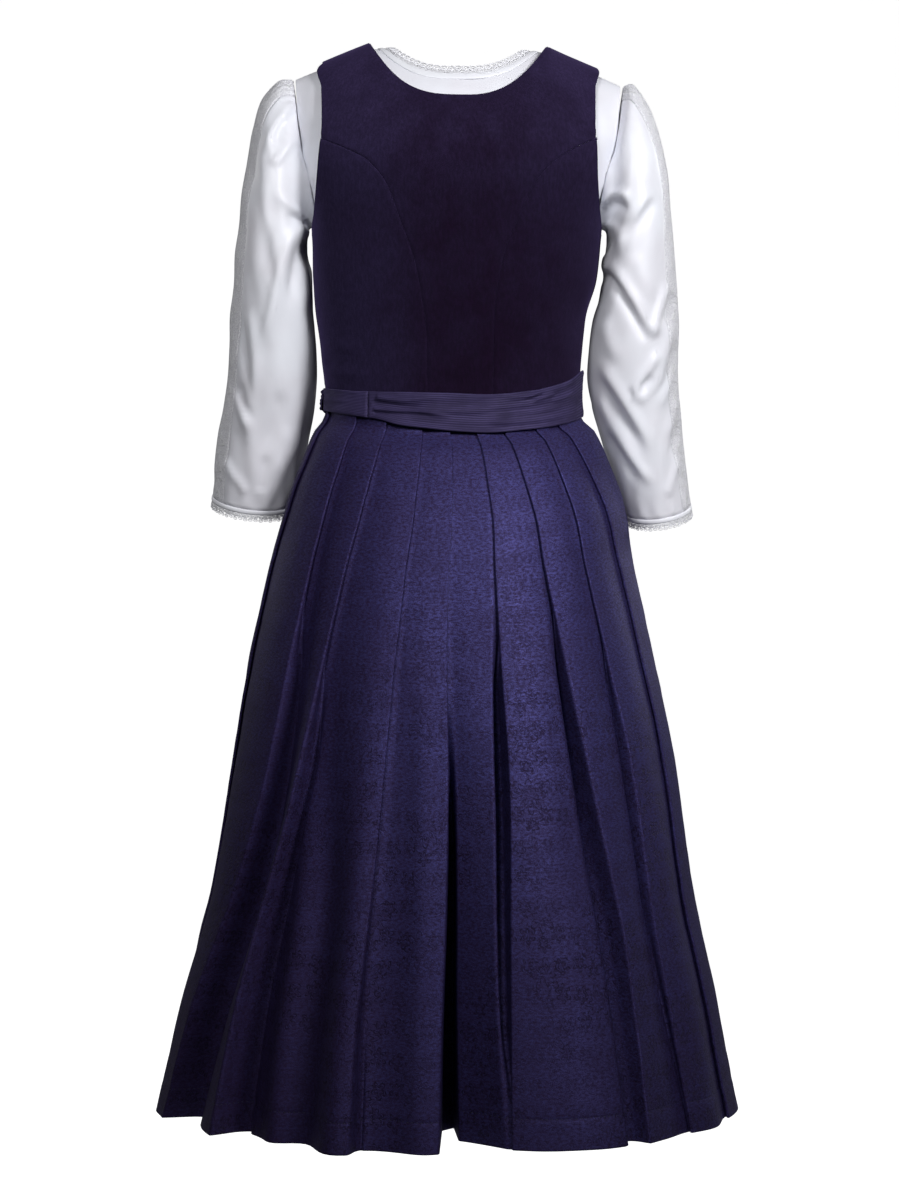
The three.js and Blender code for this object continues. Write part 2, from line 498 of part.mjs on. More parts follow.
// A band that runs round the neck, between two heights above the finished edge.
function neckBand(name, low, high, distance, thickness, material) {
  const across = mirrored(NECK_SHARES);
  const row = (above) => [-1, 1].flatMap((face) => {
    const half = BLOUSE_NECK_HALF - above * 0.9;
    const spots = across.map((share) => {
      const place = bodyPlace(share * half, blouseNeck(face, share * half, above));
      return bodySpot(face, { ...place, climb: Math.min(place.climb, SHOULDER_SEAM) }, distance);
    });
    return face < 0 ? spots : spots.reverse();
  });
  return wall(name, [row(low), row(high)], thickness, material, true);
}

// ---- Sleeves -------------------------------------------------------------------------------------------
const INSERTION = { from: -4, to: 44 };    // the lace strip down the sleeve, from its outermost line backwards
const SLEEVE_COLUMNS = 13;
const SEAM_TURN = 0.25;                     // degrees from a strip's edge to its seam line
const SEAM_STEP = 1.4;                      // the sleeve starts this far out from the armhole's edge

// The blouse's sleeve seam: 0 at the shoulder, 90 behind, 180 at the bottom, 270 in front.
function seamRound(side, turn) {
  const face = Math.sin(rad(turn)) >= 0 ? -1 : 1;
  const top = ridge(side * BLOUSE_TIP);
  const z = lerp(SLEEVE_SEAM[0].z, top, (1 + Math.cos(rad(turn))) / 2);
  const place = sideEdge(SLEEVE_SEAM, [z], side)[0];
  return bodySpot(face, place, BLOUSE_DEPTH).at;
}

// One point of a sleeve ring from the table.
function ringPoint({ outX, outZ, inX, inZ, y, deep, fall }, turn) {
  const reach = Math.cos(rad(turn)) / 2;
  const back = Math.sin(rad(turn));
  return new THREE.Vector3((outX + inX) / 2 + reach * (outX - inX), y - back * deep,
    (outZ + inZ) / 2 + reach * (outZ - inZ) - back * fall);
}

// Turns of one ring: the insertion's columns first, then the sleeve's own.
function ringTurns() {
  const lace = steps(3).map((t) => lerp(INSERTION.from + SEAM_TURN, INSERTION.to - SEAM_TURN, t));
  const cloth = steps(SLEEVE_COLUMNS).map((t) => lerp(INSERTION.to + SEAM_TURN, 360 + INSERTION.from - SEAM_TURN, t));
  return { lace, cloth };
}

function sleeve(side, table, word) {
  const { lace, cloth } = ringTurns();
  const turns = [...lace, ...cloth];
  const first = turns.map((turn) => {
    const seam = seamRound(side, turn);
    return seam.add(ringPoint(table[0], turn).sub(seam).setLength(SEAM_STEP));
  });
  const grid = withNormals([first, ...table.map((ring) => turns.map((turn) => ringPoint(ring, turn)))], true);
  const outwards = grid.map((row) => row.map(({ at, out }) => ({ at, out: side < 0 ? out.negate() : out })));
  const strip = outwards.map((row) => row.slice(0, lace.length));
  const main = outwards.map((row) => row.slice(lace.length));
  const last = table.at(-1);
  const before = table.at(-2);
  const along = ringPoint(last, 0).add(ringPoint(last, 180)).sub(ringPoint(before, 0)).sub(ringPoint(before, 180))
    .normalize();
  const cuff = (name, low, high, swell, thickness, material) => {
    const rounds = steps(SLEEVE_COLUMNS + 2).slice(0, -1).map((t) => 360 * t);
    const middle = ringPoint(last, 0).add(ringPoint(last, 180)).multiplyScalar(0.5);
    const rows = [low, high].map((down) => rounds.map((turn) => {
      const at = ringPoint(last, turn);
      const out = at.clone().sub(middle).normalize();
      return { at: at.addScaledVector(along, down).addScaledVector(out, swell), out };
    }));
    return wall(name, rows, thickness, material, true);
  };
  return [
    wall(`sleeve_${word}`, main, COTTON, COTTON_FINISH),
    wall(`sleeve_insertion_${word}`, strip, LACE, LACE_FINISH),
    cuff(`cuff_binding_${word}`, 0.4, 5, 0.5, 2, COTTON_FINISH),
    cuff(`cuff_lace_${word}`, 5.3, 13, 0.1, LACE, LACE_FINISH),
  ];
}

// ---- Skirt ---------------------------------------------------------------------------------------------
const half = (angle) => (Math.abs(angle) > 180 ? angle - 360 * Math.sign(angle) : angle);

// A point of the skirt's form without pleats, at an angle from the centre back and a share of the length.
function skirtPoint(angle, share) {
  const turn = half(angle);
  const level = lerp(WAIST_Z, HEM_Z, share);
  const depth = read(SKIRT, Math.abs(turn) <= 90 ? 'back' : 'front', level);
  const grown = smooth((share - SOFT_START) / (1 - SOFT_START));
  const push = SOFT_FOLDS.reduce((sum, fold) => (
    sum + grown * fold.push * Math.exp(-(((turn - fold.angle) / fold.width) ** 2))), 0);
  const out = new THREE.Vector3(Math.sin(rad(turn)), -Math.cos(rad(turn)), 0);
  return new THREE.Vector3(read(SKIRT, 'lean', level) + read(SKIRT, 'half', level) * out.x, depth * out.y,
    lerp(waistSeam(turn) - WAIST_GAP, HEM_Z, share)).addScaledVector(out, push);
}

// The same point moved along the skirt's curve and into it.
function skirtSpot(angle, share, along, deep) {
  const place = angle + along / skirtPoint(angle + 0.5, share).distanceTo(skirtPoint(angle - 0.5, share));
  const way = skirtPoint(place + 0.5, share).sub(skirtPoint(place - 0.5, share)).setZ(0).normalize();
  const out = new THREE.Vector3(way.y, -way.x, 0);
  return skirtPoint(place, share).addScaledVector(out, -deep);
}

// A pleat's sizes at a share of the length.
function pleatAt(line, share) {
  const flat = 2 * JACQUARD + 2 * FOLD_AIR;
  const table = [
    { z: STATIONS.waist, angle: line.waist, mouth: 0, deep: flat, land: flat },
    { z: STATIONS.hip, angle: line.hip, mouth: 0.2 * line.mouthThigh, deep: lerp(flat, line.deepThigh, 0.4),
      land: lerp(flat, line.landHem, 0.15) },
    { z: STATIONS.thigh, angle: line.thigh, mouth: line.mouthThigh, deep: line.deepThigh,
      land: lerp(flat, line.landHem, 0.4) },
    { z: STATIONS.knee, angle: line.knee, mouth: line.mouthKnee, deep: lerp(line.deepThigh, line.deepHem, 0.45),
      land: lerp(flat, line.landHem, 0.7) },
    { z: STATIONS.hem, angle: line.hem, mouth: line.mouthHem, deep: line.deepHem, land: line.landHem },
  ];
  const size = Object.fromEntries(['angle', 'mouth', 'deep', 'land'].map((key) => [key, read(table, key, share)]));
  return { ...size, land: Math.max(size.land, flat), deep: Math.max(size.deep, flat) };
}

// The path through one pleat, from the panel before it to the panel after it.
function pleatPath(line, share) {
  const { angle, mouth, deep, land } = pleatAt(line, share);
  const open = clamp(mouth / OPEN_MOUTH, 0, 1);
  const under = 2 * JACQUARD + FOLD_AIR;
  const path = [
    { along: 0, deep: 0 },
    { along: lerp(0, 1.5, open), deep: lerp(under, Math.min(0.3 * deep, 6), open) },
    { along: lerp(-TUCK, 0.25 * mouth, open), deep: lerp(under, 0.75 * deep, open) },
    { along: lerp(-TUCK, 0.75 * mouth, open), deep: lerp(under + FOLD_AIR, deep, open) },
    { along: mouth + 1.5, deep: land },
  ];
  const spots = path.map((spot) => skirtSpot(angle, share, line.lap * spot.along, spot.deep));
  return line.lap > 0 ? spots : spots.reverse();
}

// The middle of the panel between two pleats: flat beside a closed edge, and halfway lower down.
function panelMiddle(before, after, share) {
  const from = pleatAt(before, share);
  const to = pleatAt(after, share);
  const toAngle = to.angle + (to.angle < from.angle ? 360 : 0);
  const topBefore = before.lap < 0;
  const topAfter = after.lap > 0;
  const centre = skirtSpot((from.angle + toAngle) / 2, share, 0,
    ((topBefore ? 0 : from.land) + (topAfter ? 0 : to.land)) / 2);
  if (topBefore === topAfter) return centre;
  const edge = topAfter ? skirtSpot(toAngle, share, -FLAT_EDGE, 0) : skirtSpot(from.angle, share, FLAT_EDGE, 0);
  return edge.lerp(centre, smooth(share / 0.4));
}

// Wall of the skirt between two side seams; the way out at each point is square to the path beside it.
function skirtWall(name, lines, startSeam, endSeam) {
  const rows = SKIRT_ROWS.map((share) => {
    const path = [skirtSpot(startSeam(share), share, SEAM_HALF, 0)];
    lines.forEach((line, i) => {
      if (i > 0) path.push(panelMiddle(lines[i - 1], line, share));
      path.push(...pleatPath(line, share));
    });
    path.push(skirtSpot(endSeam(share), share, -SEAM_HALF, 0));
    const sides = path.slice(1).map((at, i) => {
      const way = at.clone().sub(path[i]).setZ(0).normalize();
      return new THREE.Vector3(way.y, -way.x, 0);
    });
    const ends = [startSeam(share), endSeam(share)].map((angle) => (
      skirtSpot(angle, share, 0, -1).sub(skirtSpot(angle, share, 0, 0))));
    return path.map((at, i) => {
      if (i === 0 || i === sides.length) return { at, out: ends[Math.min(i, 1)] };
      return { at, out: sides[i - 1].clone().add(sides[i]).divideScalar(1 + sides[i - 1].dot(sides[i])) };
    });
  });
  return wall(name, rows, JACQUARD, JACQUARD_FINISH);
}

function skirt() {
  const leftSeam = (share) => lerp(SIDE_SEAM.leftWaist, SIDE_SEAM.leftHem, smooth(share));
  const rightSeam = (share) => lerp(SIDE_SEAM.rightWaist, SIDE_SEAM.rightHem, smooth(share));
  const behind = PLEATS.filter((line) => line.waist > SIDE_SEAM.leftWaist && line.waist < SIDE_SEAM.rightWaist);
  const ahead = [...PLEATS.filter((line) => line.waist > SIDE_SEAM.rightWaist),
    ...PLEATS.filter((line) => line.waist < SIDE_SEAM.leftWaist)];
  return [skirtWall('skirt_back', behind, leftSeam, rightSeam),
    skirtWall('skirt_front', ahead, rightSeam, (share) => leftSeam(share) + 360)];
}

// ---- Apron ---------------------------------------------------------------------------------------------
const APRON_EDGE = 104;        // angle of the apron's side edges
const APRON_COLUMNS = 20;
const APRON_ROWS = [0.0225, 0.045, 0.11, 0.227, 0.4, 0.6, 0.8];
const APRON_WAVE = { top: 1, low: 5 };       // every other column stands out by this
const WAISTBAND = { from: 95, to: 319.8 };   // from the wearer's right front round to the left back
const TIE_SEAM = 320.2;        // the long tie is sewn on here, and runs across the back
const KNOT_ANGLE = 208;        // the bow sits in front, on the wearer's left
const TIE_CLIMB = { from: 76, to: 92 };      // the long tie mounts the waistband between these angles
const TIE_END = 276;
const BAND_OUT = BAND_EASE + PLISSE;
const TIE_OUT = BAND_OUT + PLISSE + 0.9;

// A point at the waist, outside the bodice and the skirt's top.
function waistSpot(angle, z, distance) {
  const turn = half(angle);
  const face = Math.abs(turn) <= 90 ? -1 : 1;
  const across = face < 0 ? turn : Math.sign(turn) * (180 - Math.abs(turn));
  return bodySpot(face, { angle: across, climb: z - YOKE_Z }, distance);
}

const bandEdge = (edge, angle) => read(BAND, edge, half(angle) < -150 ? half(angle) + 360 : half(angle));

// A stretch of band between two angles. out: distance of its outer face; width: share of the full width.
function bandWall(name, from, to, columns, out, width) {
  const rows = [0, 0.5, 1].map((share) => steps(columns).map((t) => {
    const angle = lerp(from, to, t);
    const middle = (bandEdge('top', angle) + bandEdge('bottom', angle)) / 2;
    const reach = width(angle) * (bandEdge('top', angle) - middle);
    return waistSpot(angle, middle + (1 - 2 * share) * reach, out(angle) + bandEdge('flare', angle) * share ** 3);
  }));
  return wall(name, rows, PLISSE, APRON_FINISH);
}

function apron() {
  const hem = (APRON_HEM_Z - WAIST_Z) / (HEM_Z - WAIST_Z);
  const rows = [...APRON_ROWS, hem].map((share) => steps(APRON_COLUMNS).map((t, c) => {
    const wave = c % 2 ? lerp(APRON_WAVE.top, APRON_WAVE.low, smooth(share / 0.5)) : 0;
    return skirtSpot(lerp(APRON_EDGE, 360 - APRON_EDGE, t), share, 0, -(APRON_EASE + PLISSE + wave));
  }));
  const toKnot = (angle) => 1 - 0.45 * smooth((angle - 150) / (KNOT_ANGLE - 150));
  const fromKnot = (angle) => 0.55 + 0.35 * smooth((angle - KNOT_ANGLE) / 50);
  const mount = (angle) => lerp(BAND_OUT, TIE_OUT, smooth((angle - TIE_CLIMB.from) / (TIE_CLIMB.to - TIE_CLIMB.from)));
  return [
    wall('apron_panel', withNormals(rows), PLISSE, APRON_FINISH),
    bandWall('apron_waistband', WAISTBAND.from, WAISTBAND.to, 26, () => BAND_OUT, () => 1),
    bandWall('apron_tie_long', TIE_SEAM - 360, KNOT_ANGLE - 0.2, 30, mount, toKnot),
    bandWall('apron_tie_short', KNOT_ANGLE + 0.2, TIE_END, 9, () => TIE_OUT, fromKnot),
  ];
}

// ---- Bow -----------------------------------------------------------------------------------------------
const KNOT = { wide: 13, deep: 9, high: 15 };
const BOW_LOOPS = [
  { name: 'bow_loop_right', side: -1, reach: 72 },
  { name: 'bow_loop_left', side: 1, reach: 48 },
];
// The way of a loop from the knot and back: share of its length, distance from the tie, and half its width.
const LOOP_WAY = [
  { along: 0, out: 9.3, width: 6 }, { along: 0.35, out: 19, width: 16 }, { along: 0.8, out: 20, width: 20 },
  { along: 1, out: 13, width: 21 }, { along: 0.8, out: 6, width: 20 }, { along: 0.35, out: 5, width: 16 },
  { along: 0.03, out: 7.4, width: 7 },
];
const BOW_TAILS = [
  { name: 'bow_tail_right', side: -1, angles: { top: 208, bottom: 201 }, end: 0.42 },
  { name: 'bow_tail_left', side: 1, angles: { top: 208, bottom: 213 }, end: 0.47 },
];
// A tail from the knot down: share of the skirt's length, distance from its form, and width.
const TAIL_WAY = [
  { share: 0, out: 15, width: 10 }, { share: 0.08, out: 11, width: 24 }, { share: 0.25, out: 11.5, width: 36 },
  { share: 0.6, out: 12, width: 38 }, { share: 1, out: 12, width: 38 },
];
const TAIL_TOP = 0.0157;       // share of the skirt's length just under the knot
const BUTTONS = { count: 7, top: -184, step: 29, radius: 5.5, high: 3, off: 5, air: 0.33 };
const CLOSE_BUTTON = { index: 3, air: 0.22 };   // this one lies closer to the cloth, where the front hollows

function bow() {
  const middle = (bandEdge('top', KNOT_ANGLE) + bandEdge('bottom', KNOT_ANGLE)) / 2;
  const seat = waistSpot(KNOT_ANGLE, middle, TIE_OUT + KNOT.deep + 1.4);
  const knot = new THREE.Mesh(new THREE.SphereGeometry(1, 12, 8), APRON_FINISH);
  knot.name = 'bow_knot';
  knot.scale.set(KNOT.wide, KNOT.deep, KNOT.high);
  knot.position.copy(seat.at);
  knot.rotation.z = Math.atan2(-seat.out.x, seat.out.y);
  const pace = waistSpot(KNOT_ANGLE, middle, 0).at.distanceTo(waistSpot(KNOT_ANGLE + 1, middle, 0).at);
  const loops = BOW_LOOPS.map(({ name, side, reach }) => {
    const edges = [1, -1].map((up) => LOOP_WAY.map(({ along, out, width }) => (
      waistSpot(KNOT_ANGLE + side * lerp(KNOT.wide + 0.1, reach, along) / pace, middle + up * width, TIE_OUT + out).at)));
    const rows = edges.map((edge) => edge.map((at, i) => {
      const way = edge[Math.min(i + 1, edge.length - 1)].clone().sub(edge[Math.max(i - 1, 0)]).setZ(0).normalize();
      return { at, out: new THREE.Vector3(-side * way.y, side * way.x, 0) };
    }));
    return wall(name, rows, PLISSE, APRON_FINISH);
  });
  const tails = BOW_TAILS.map(({ name, side, angles, end }) => {
    const rows = TAIL_WAY.map(({ share, out, width }) => [0, 1 / 3, 2 / 3, 1].map((across) => {
      const inner = side * lerp(1, 3, share);
      const along = lerp(0, width, across) - width / 2 + side * width / 2 + inner;
      return skirtSpot(lerp(angles.top, angles.bottom, share), lerp(TAIL_TOP, end, share), along, -out);
    }));
    return wall(name, withNormals(rows), PLISSE, APRON_FINISH);
  });
  return [knot, ...loops, ...tails];
}

// Domed buttons down the wearer's right front.
function buttons() {
  const profile = [[0, 0], [BUTTONS.radius, 0], [BUTTONS.radius, 1], [BUTTONS.radius * 0.7, BUTTONS.high * 0.8],
    [0, BUTTONS.high]].map(([radius, up]) => new THREE.Vector2(radius, up));
  return steps(BUTTONS.count - 1).map((t, i) => {
    const z = BUTTONS.top - BUTTONS.step * i;
    const seat = bodySpot(1, bodyPlace(read(TORSO, 'lean', z) + BUTTONS.off + BUTTONS.radius, z),
      i === CLOSE_BUTTON.index ? CLOSE_BUTTON.air : BUTTONS.air);
    const button = new THREE.Mesh(new THREE.LatheGeometry(profile, 10), BUTTON_FINISH);
    button.name = `button_${i + 1}`;
    button.position.copy(seat.at);
    button.quaternion.setFromUnitVectors(new THREE.Vector3(0, 1, 0), seat.out);
    return button;
  });
}

// ---- Assembly ------------------------------------------------------------------------------------------
const dirndl = new THREE.Group();
dirndl.add(
  ...bodiceBack(),
  ...bodiceFront(-1, 'left'),
  ...bodiceFront(1, 'right'),
  blouseBody(-1, 'back'),
  blouseBody(1, 'front'),
  neckBand('neck_binding', -BINDING_DEEP, 0, BLOUSE_DEPTH + 0.3, 1.6, COTTON_FINISH),
  neckBand('neck_lace', 2 * SEAM_HALF, NECK_LACE_HIGH, BLOUSE_DEPTH, LACE, LACE_FINISH),
  ...sleeve(-1, SLEEVE_LEFT, 'left'),
  ...sleeve(1, SLEEVE_RIGHT, 'right'),
  ...skirt(),
  ...apron(),
  ...bow(),
  ...buttons(),
);

export default dirndl;
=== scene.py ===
"""A dirndl set that hangs as if it were worn, seen from behind: velvet bodice, pleated jacquard skirt, ribbed
apron with its tied band, and a white blouse with lace.

Lengths are in millimetres until a mesh is made of them. +Z is up, the wearer's back faces -Y and the right
hand +X. An angle round the waist runs from the centre back, minus to the wearer's left.
"""

import logging
import math
from collections.abc import Callable, Iterable, Sequence
from dataclasses import dataclass, field
from enum import Enum

import bpy
import numpy as np
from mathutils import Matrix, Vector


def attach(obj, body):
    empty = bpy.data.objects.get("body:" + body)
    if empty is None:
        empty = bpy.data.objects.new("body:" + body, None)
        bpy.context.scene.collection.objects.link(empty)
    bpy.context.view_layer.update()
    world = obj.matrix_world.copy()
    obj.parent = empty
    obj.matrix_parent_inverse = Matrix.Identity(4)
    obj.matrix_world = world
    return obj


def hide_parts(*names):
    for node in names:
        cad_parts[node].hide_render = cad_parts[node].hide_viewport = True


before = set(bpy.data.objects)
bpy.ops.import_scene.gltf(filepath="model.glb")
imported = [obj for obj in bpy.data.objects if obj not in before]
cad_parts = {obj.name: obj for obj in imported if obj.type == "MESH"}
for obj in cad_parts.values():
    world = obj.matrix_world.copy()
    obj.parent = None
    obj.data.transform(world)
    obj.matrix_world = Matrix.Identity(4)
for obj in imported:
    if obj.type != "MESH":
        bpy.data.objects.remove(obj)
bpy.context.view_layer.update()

LOG = logging.getLogger("dirndl")
MM = 0.001
LEAST_CUT = 0.0101  # the shortest side of a flat cut, in metres
LEAST_AREA = 0.301  # the least of a cut's outline that its cloth fills
Array = np.ndarray
Colour = tuple[float, float, float, float]
Material = bpy.types.Material
Object = bpy.types.Object
Tree = bpy.types.NodeTree
Node = bpy.types.Node
Socket = bpy.types.NodeSocket
Given = dict[str, Socket]


class Side(Enum):
    """Which side of the wearer a thing lies on."""

    BACK = -1
    FRONT = 1


class Hand(Enum):
    """The wearer's left or right."""

    LEFT = -1
    RIGHT = 1

    @property
    def word(self) -> str:
        """The side's name in a piece's name."""
        return self.name.lower()


class Lap(Enum):
    """Which panel of a knife pleat lies on top: the one before the pleat's line, or the one after it."""

    BEFORE = 1
    AFTER = -1


# ---- Numbers -------------------------------------------------------------------------------------
def lerp(start: Array | float, end: Array | float, share: Array | float) -> Array | float:
    """The value at a share of the way from start to end."""
    return start + (end - start) * share


def smooth(value: Array | float) -> Array:
    """0 below 0, 1 above 1, and a soft step between them."""
    k = np.clip(value, 0.0, 1.0)
    return k * k * (3 - 2 * k)


def unit(vectors: Array) -> Array:
    """The vectors at length 1."""
    return vectors / np.maximum(np.linalg.norm(vectors, axis=-1, keepdims=True), 1e-9)


def vector(x: Array | float, y: Array | float, z: Array | float) -> Array:
    """Coordinates of one shape joined into points."""
    return np.stack(np.broadcast_arrays(x, y, z), axis=-1).astype(float)


def outwards(angle: Array | float) -> Array:
    """The level way out at an angle round the waist."""
    return vector(np.sin(np.radians(angle)), -np.cos(np.radians(angle)), 0)


def mapped(across: Array, down: Array) -> Array:
    """A cloth map in metres, from lengths across and down the cloth."""
    return np.stack(np.broadcast_arrays(across, down), axis=-1) * MM


def eased(t: Array, span: Array, ends: tuple[Array, Array], slopes: tuple[Array, Array]) -> Array:
    """The value at a share of a smooth way between two ends, with a slope at each.

    Args:
        t: the share of the way.
        span: its whole length.
        ends: the values at both ends.
        slopes: the slopes there.

    Returns:
        The value.
    """
    return ((1 + 2 * t) * (1 - t) ** 2 * ends[0] + t * (1 - t) ** 2 * slopes[0] * span
            + t * t * (3 - 2 * t) * ends[1] - t * t * (1 - t) * slopes[1] * span)


def turned_in(angle: Array | float) -> Array:
    """An angle brought between -180 and 180 degrees."""
    return (np.asarray(angle, float) + 180) % 360 - 180


def crowded(count: int, start: float = 0.0, end: float = 0.0) -> Array:
    """Shares from 0 to 1 that lie closer together towards the start or the end.

    Args:
        count: how many shares.
        start: crowding at 0, from 0 for none to 1.
        end: crowding at 1, from 0 for none to 1.

    Returns:
        The shares, rising from 0 to 1.
    """
    t = np.linspace(0, 1, count)
    both = lerp(t, 0.5 - 0.5 * np.cos(np.pi * t), min(start, end))
    if start > end:
        return lerp(both, t ** 2, start - end)
    return lerp(both, 1 - (1 - t) ** 2, end - start)


@dataclass(frozen=True)
class Curve:
    """A size that follows a smooth curve through given places, and stays level past both ends."""

    places: tuple[float, ...]
    sizes: tuple[float, ...]

    @classmethod
    def through(cls, *points: tuple[float, float]) -> "Curve":
        """A curve through (place, size) pairs given in any order."""
        ordered = sorted(points)
        return cls(tuple(p for p, _ in ordered), tuple(s for _, s in ordered))

    def __call__(self, at: Array | float) -> Array:
        """The sizes at some places."""
        x, y = np.array(self.places, float), np.array(self.sizes, float)
        slope = np.diff(y) / np.diff(x)
        tangent = np.empty_like(y)
        tangent[0], tangent[-1] = slope[0], slope[-1]
        before, after = slope[:-1], slope[1:]
        rising = before * after > 0
        tangent[1:-1] = np.where(rising, 2 * before * after / np.where(rising, before + after, 1), 0)
        at = np.asarray(at, float)
        i = np.clip(np.searchsorted(x, at, side="right") - 1, 0, len(x) - 2)
        span = x[i + 1] - x[i]
        t = np.clip((at - x[i]) / span, 0, 1)
        return eased(t, span, (y[i], y[i + 1]), (tangent[i], tangent[i + 1]))

    @property
    def last(self) -> float:
        """The size at the highest place."""
        return self.sizes[-1]


class Sections:
    """Several sizes of a form, read at one running value."""

    def __init__(self, names: str, *rows: tuple[float, ...]) -> None:
        """Keeps one curve per name.

        Args:
            names: the sizes' names, parted by spaces.
            rows: the running value, then one size per name.
        """
        for i, name in enumerate(names.split()):
            setattr(self, name, Curve.through(*((row[0], row[i + 1]) for row in rows)))


def line_through(points: Array, places: Array, at: Array) -> Array:
    """Points on a smooth line through given ones.

    Args:
        points: the given points, one row each, of any shape.
        places: their running values, rising.
        at: where the new points lie.

    Returns:
        One row for each place in `at`.
    """
    slope = np.gradient(points, places, axis=0)
    i = np.clip(np.searchsorted(places, at, side="right") - 1, 0, len(places) - 2)
    span = (places[i + 1] - places[i]).reshape(-1, *[1] * (points.ndim - 1))
    t = ((at - places[i]) / (places[i + 1] - places[i])).reshape(span.shape)
    return eased(t, span, (points[i], points[i + 1]), (slope[i], slope[i + 1]))


class Ripple:
    """Slow, seeded unevenness of a cloth, between about -1 and 1."""

    CELLS = 97  # a side of the lattice, which then repeats
    SHIFT = 40.5  # the cells before the place where both running values are 0

    def __init__(self, seed: int, size: float) -> None:
        """Keeps a lattice of heights whose cells are `size` millimetres wide."""
        self._lattice = np.random.default_rng(seed).uniform(-1, 1, (self.CELLS, self.CELLS))
        self._size = size

    def __call__(self, u: Array, v: Array) -> Array:
        """The heights at two running values in millimetres."""
        x, y = np.asarray(u) / self._size + self.SHIFT, np.asarray(v) / self._size + self.SHIFT
        i, j = np.floor(x).astype(int), np.floor(y).astype(int)
        s, t = smooth(x - i), smooth(y - j)
        grid, n = self._lattice, self.CELLS
        low, high = (lerp(grid[i % n, k % n], grid[(i + 1) % n, k % n], s) for k in (j, j + 1))
        return lerp(low, high, t)


# ---- Cloth ---------------------------------------------------------------------------------------
@dataclass(frozen=True)
class Crease:
    """A soft ridge, or a trough if push is below 0, along a line of (x, z) places on one side."""

    line: tuple[tuple[float, float], ...]
    push: float
    width: float
    side: Side = Side.BACK
    lean: float = 0.0
    fade: tuple[float, float] = (0.25, 0.35)

    STEPS = 22  # the straight bits that stand for the line, and one more
    LEAST = 1e-6  # the shortest share of the line in which it fades

    def height(self, at: Array, out: Array) -> Array:
        """How far the crease lifts each point of a cloth.

        Args:
            at: the points.
            out: the way out of the cloth at each of them.

        Returns:
            Millimetres outwards.
        """
        given = np.array(self.line, float)
        steps = np.concatenate([[0], np.cumsum(np.linalg.norm(np.diff(given, axis=0), axis=1))])
        fine = line_through(given, steps, np.linspace(0, steps[-1], self.STEPS))
        start, way = fine[:-1], np.diff(fine, axis=0)
        place = at[..., [0, 2]].reshape(-1, 1, 2) - start
        run = np.clip((place * way).sum(-1) / (way ** 2).sum(-1), 0, 1)
        off = place - run[..., None] * way
        far = np.linalg.norm(off, axis=-1)
        best = far.argmin(axis=1)
        rows = np.arange(len(best))
        cross = way[best, 0] * off[rows, best, 1] - way[best, 1] * off[rows, best, 0]
        share = (best + run[rows, best]) / (len(fine) - 1)
        width = self.width * (1 + self.lean * np.sign(cross))
        start, end = (max(length, self.LEAST) for length in self.fade)
        ends = smooth(share / start) * smooth((1 - share) / end)
        lift = self.push * ends * np.exp(-((far[rows, best] / width) ** 2))
        facing = smooth(0.5 + 2.5 * self.side.value * out[..., 1])
        return lift.reshape(at.shape[:-1]) * facing


@dataclass
class Grid:
    """Rows and columns of points on a piece of cloth; the columns of a ring close on themselves."""

    at: Array
    outward: Array
    ring: bool = False
    uv: Array | None = None

    def closed(self) -> Array:
        """The points, with a ring's first column again at its end."""
        return np.concatenate([self.at, self.at[:, :1]], axis=1) if self.ring else self.at

    def normals(self) -> Array:
        """The way out of the cloth at each point, square to it."""
        if self.ring:
            across = np.roll(self.at, -1, axis=1) - np.roll(self.at, 1, axis=1)
        else:
            across = np.gradient(self.at, axis=1)
        out = unit(np.cross(across, np.gradient(self.at, axis=0)))
        return out * np.sign((out * self.outward).sum(-1).mean())

    def lifted(self, amount: Array | float) -> "Grid":
        """The cloth moved outwards by some millimetres at each point."""
        amount = np.broadcast_to(amount, self.at.shape[:2])
        return Grid(self.at + self.normals() * amount[..., None], self.outward, self.ring, self.uv)

    def creased(self, creases: Iterable[Crease]) -> "Grid":
        """The cloth with its creases pressed in."""
        out = self.normals()
        amount = sum((crease.height(self.at, out) for crease in creases), np.zeros(self.at.shape[:2]))
        return self.lifted(amount)

    def across(self) -> Array:
        """Length along each row, with one more column for a ring."""
        steps = np.linalg.norm(np.diff(self.closed(), axis=1), axis=-1)
        return np.concatenate([np.zeros((len(steps), 1)), np.cumsum(steps, axis=1)], axis=1)

    def down(self) -> Array:
        """Length along each column from the first row."""
        steps = np.linalg.norm(np.diff(self.at, axis=0), axis=-1)
        lengths = np.concatenate([np.zeros((1, steps.shape[1])), np.cumsum(steps, axis=0)])
        return np.concatenate([lengths, lengths[:, :1]], axis=1) if self.ring else lengths

    def area(self) -> float:
        """The cloth's area in square metres, on one side."""
        points = self.closed()
        a, b, c, d = points[:-1, :-1], points[:-1, 1:], points[1:, 1:], points[1:, :-1]
        return float(0.5 * np.linalg.norm(np.cross(c - a, d - b), axis=-1).sum()) * MM * MM

    def flat_size(self) -> tuple[float, float]:
        """Width and length in metres of the cut laid flat, measured level and down the cloth."""
        level = np.linalg.norm(np.diff(self.closed()[..., :2], axis=1), axis=-1).sum(axis=1).max() * MM
        length = max(float(self.down().max()) * MM, LEAST_CUT)
        width = min(float(self.across().max()) * MM, max(float(level), self.area() / length))
        return max(width, LEAST_CUT), length

    def plain_uv(self) -> Array:
        """A map in metres: along the rows from the middle column, and down the columns."""
        across, down = self.across(), self.down()
        middle = across[:, across.shape[1] // 2][:, None]
        return mapped(across - middle, down)


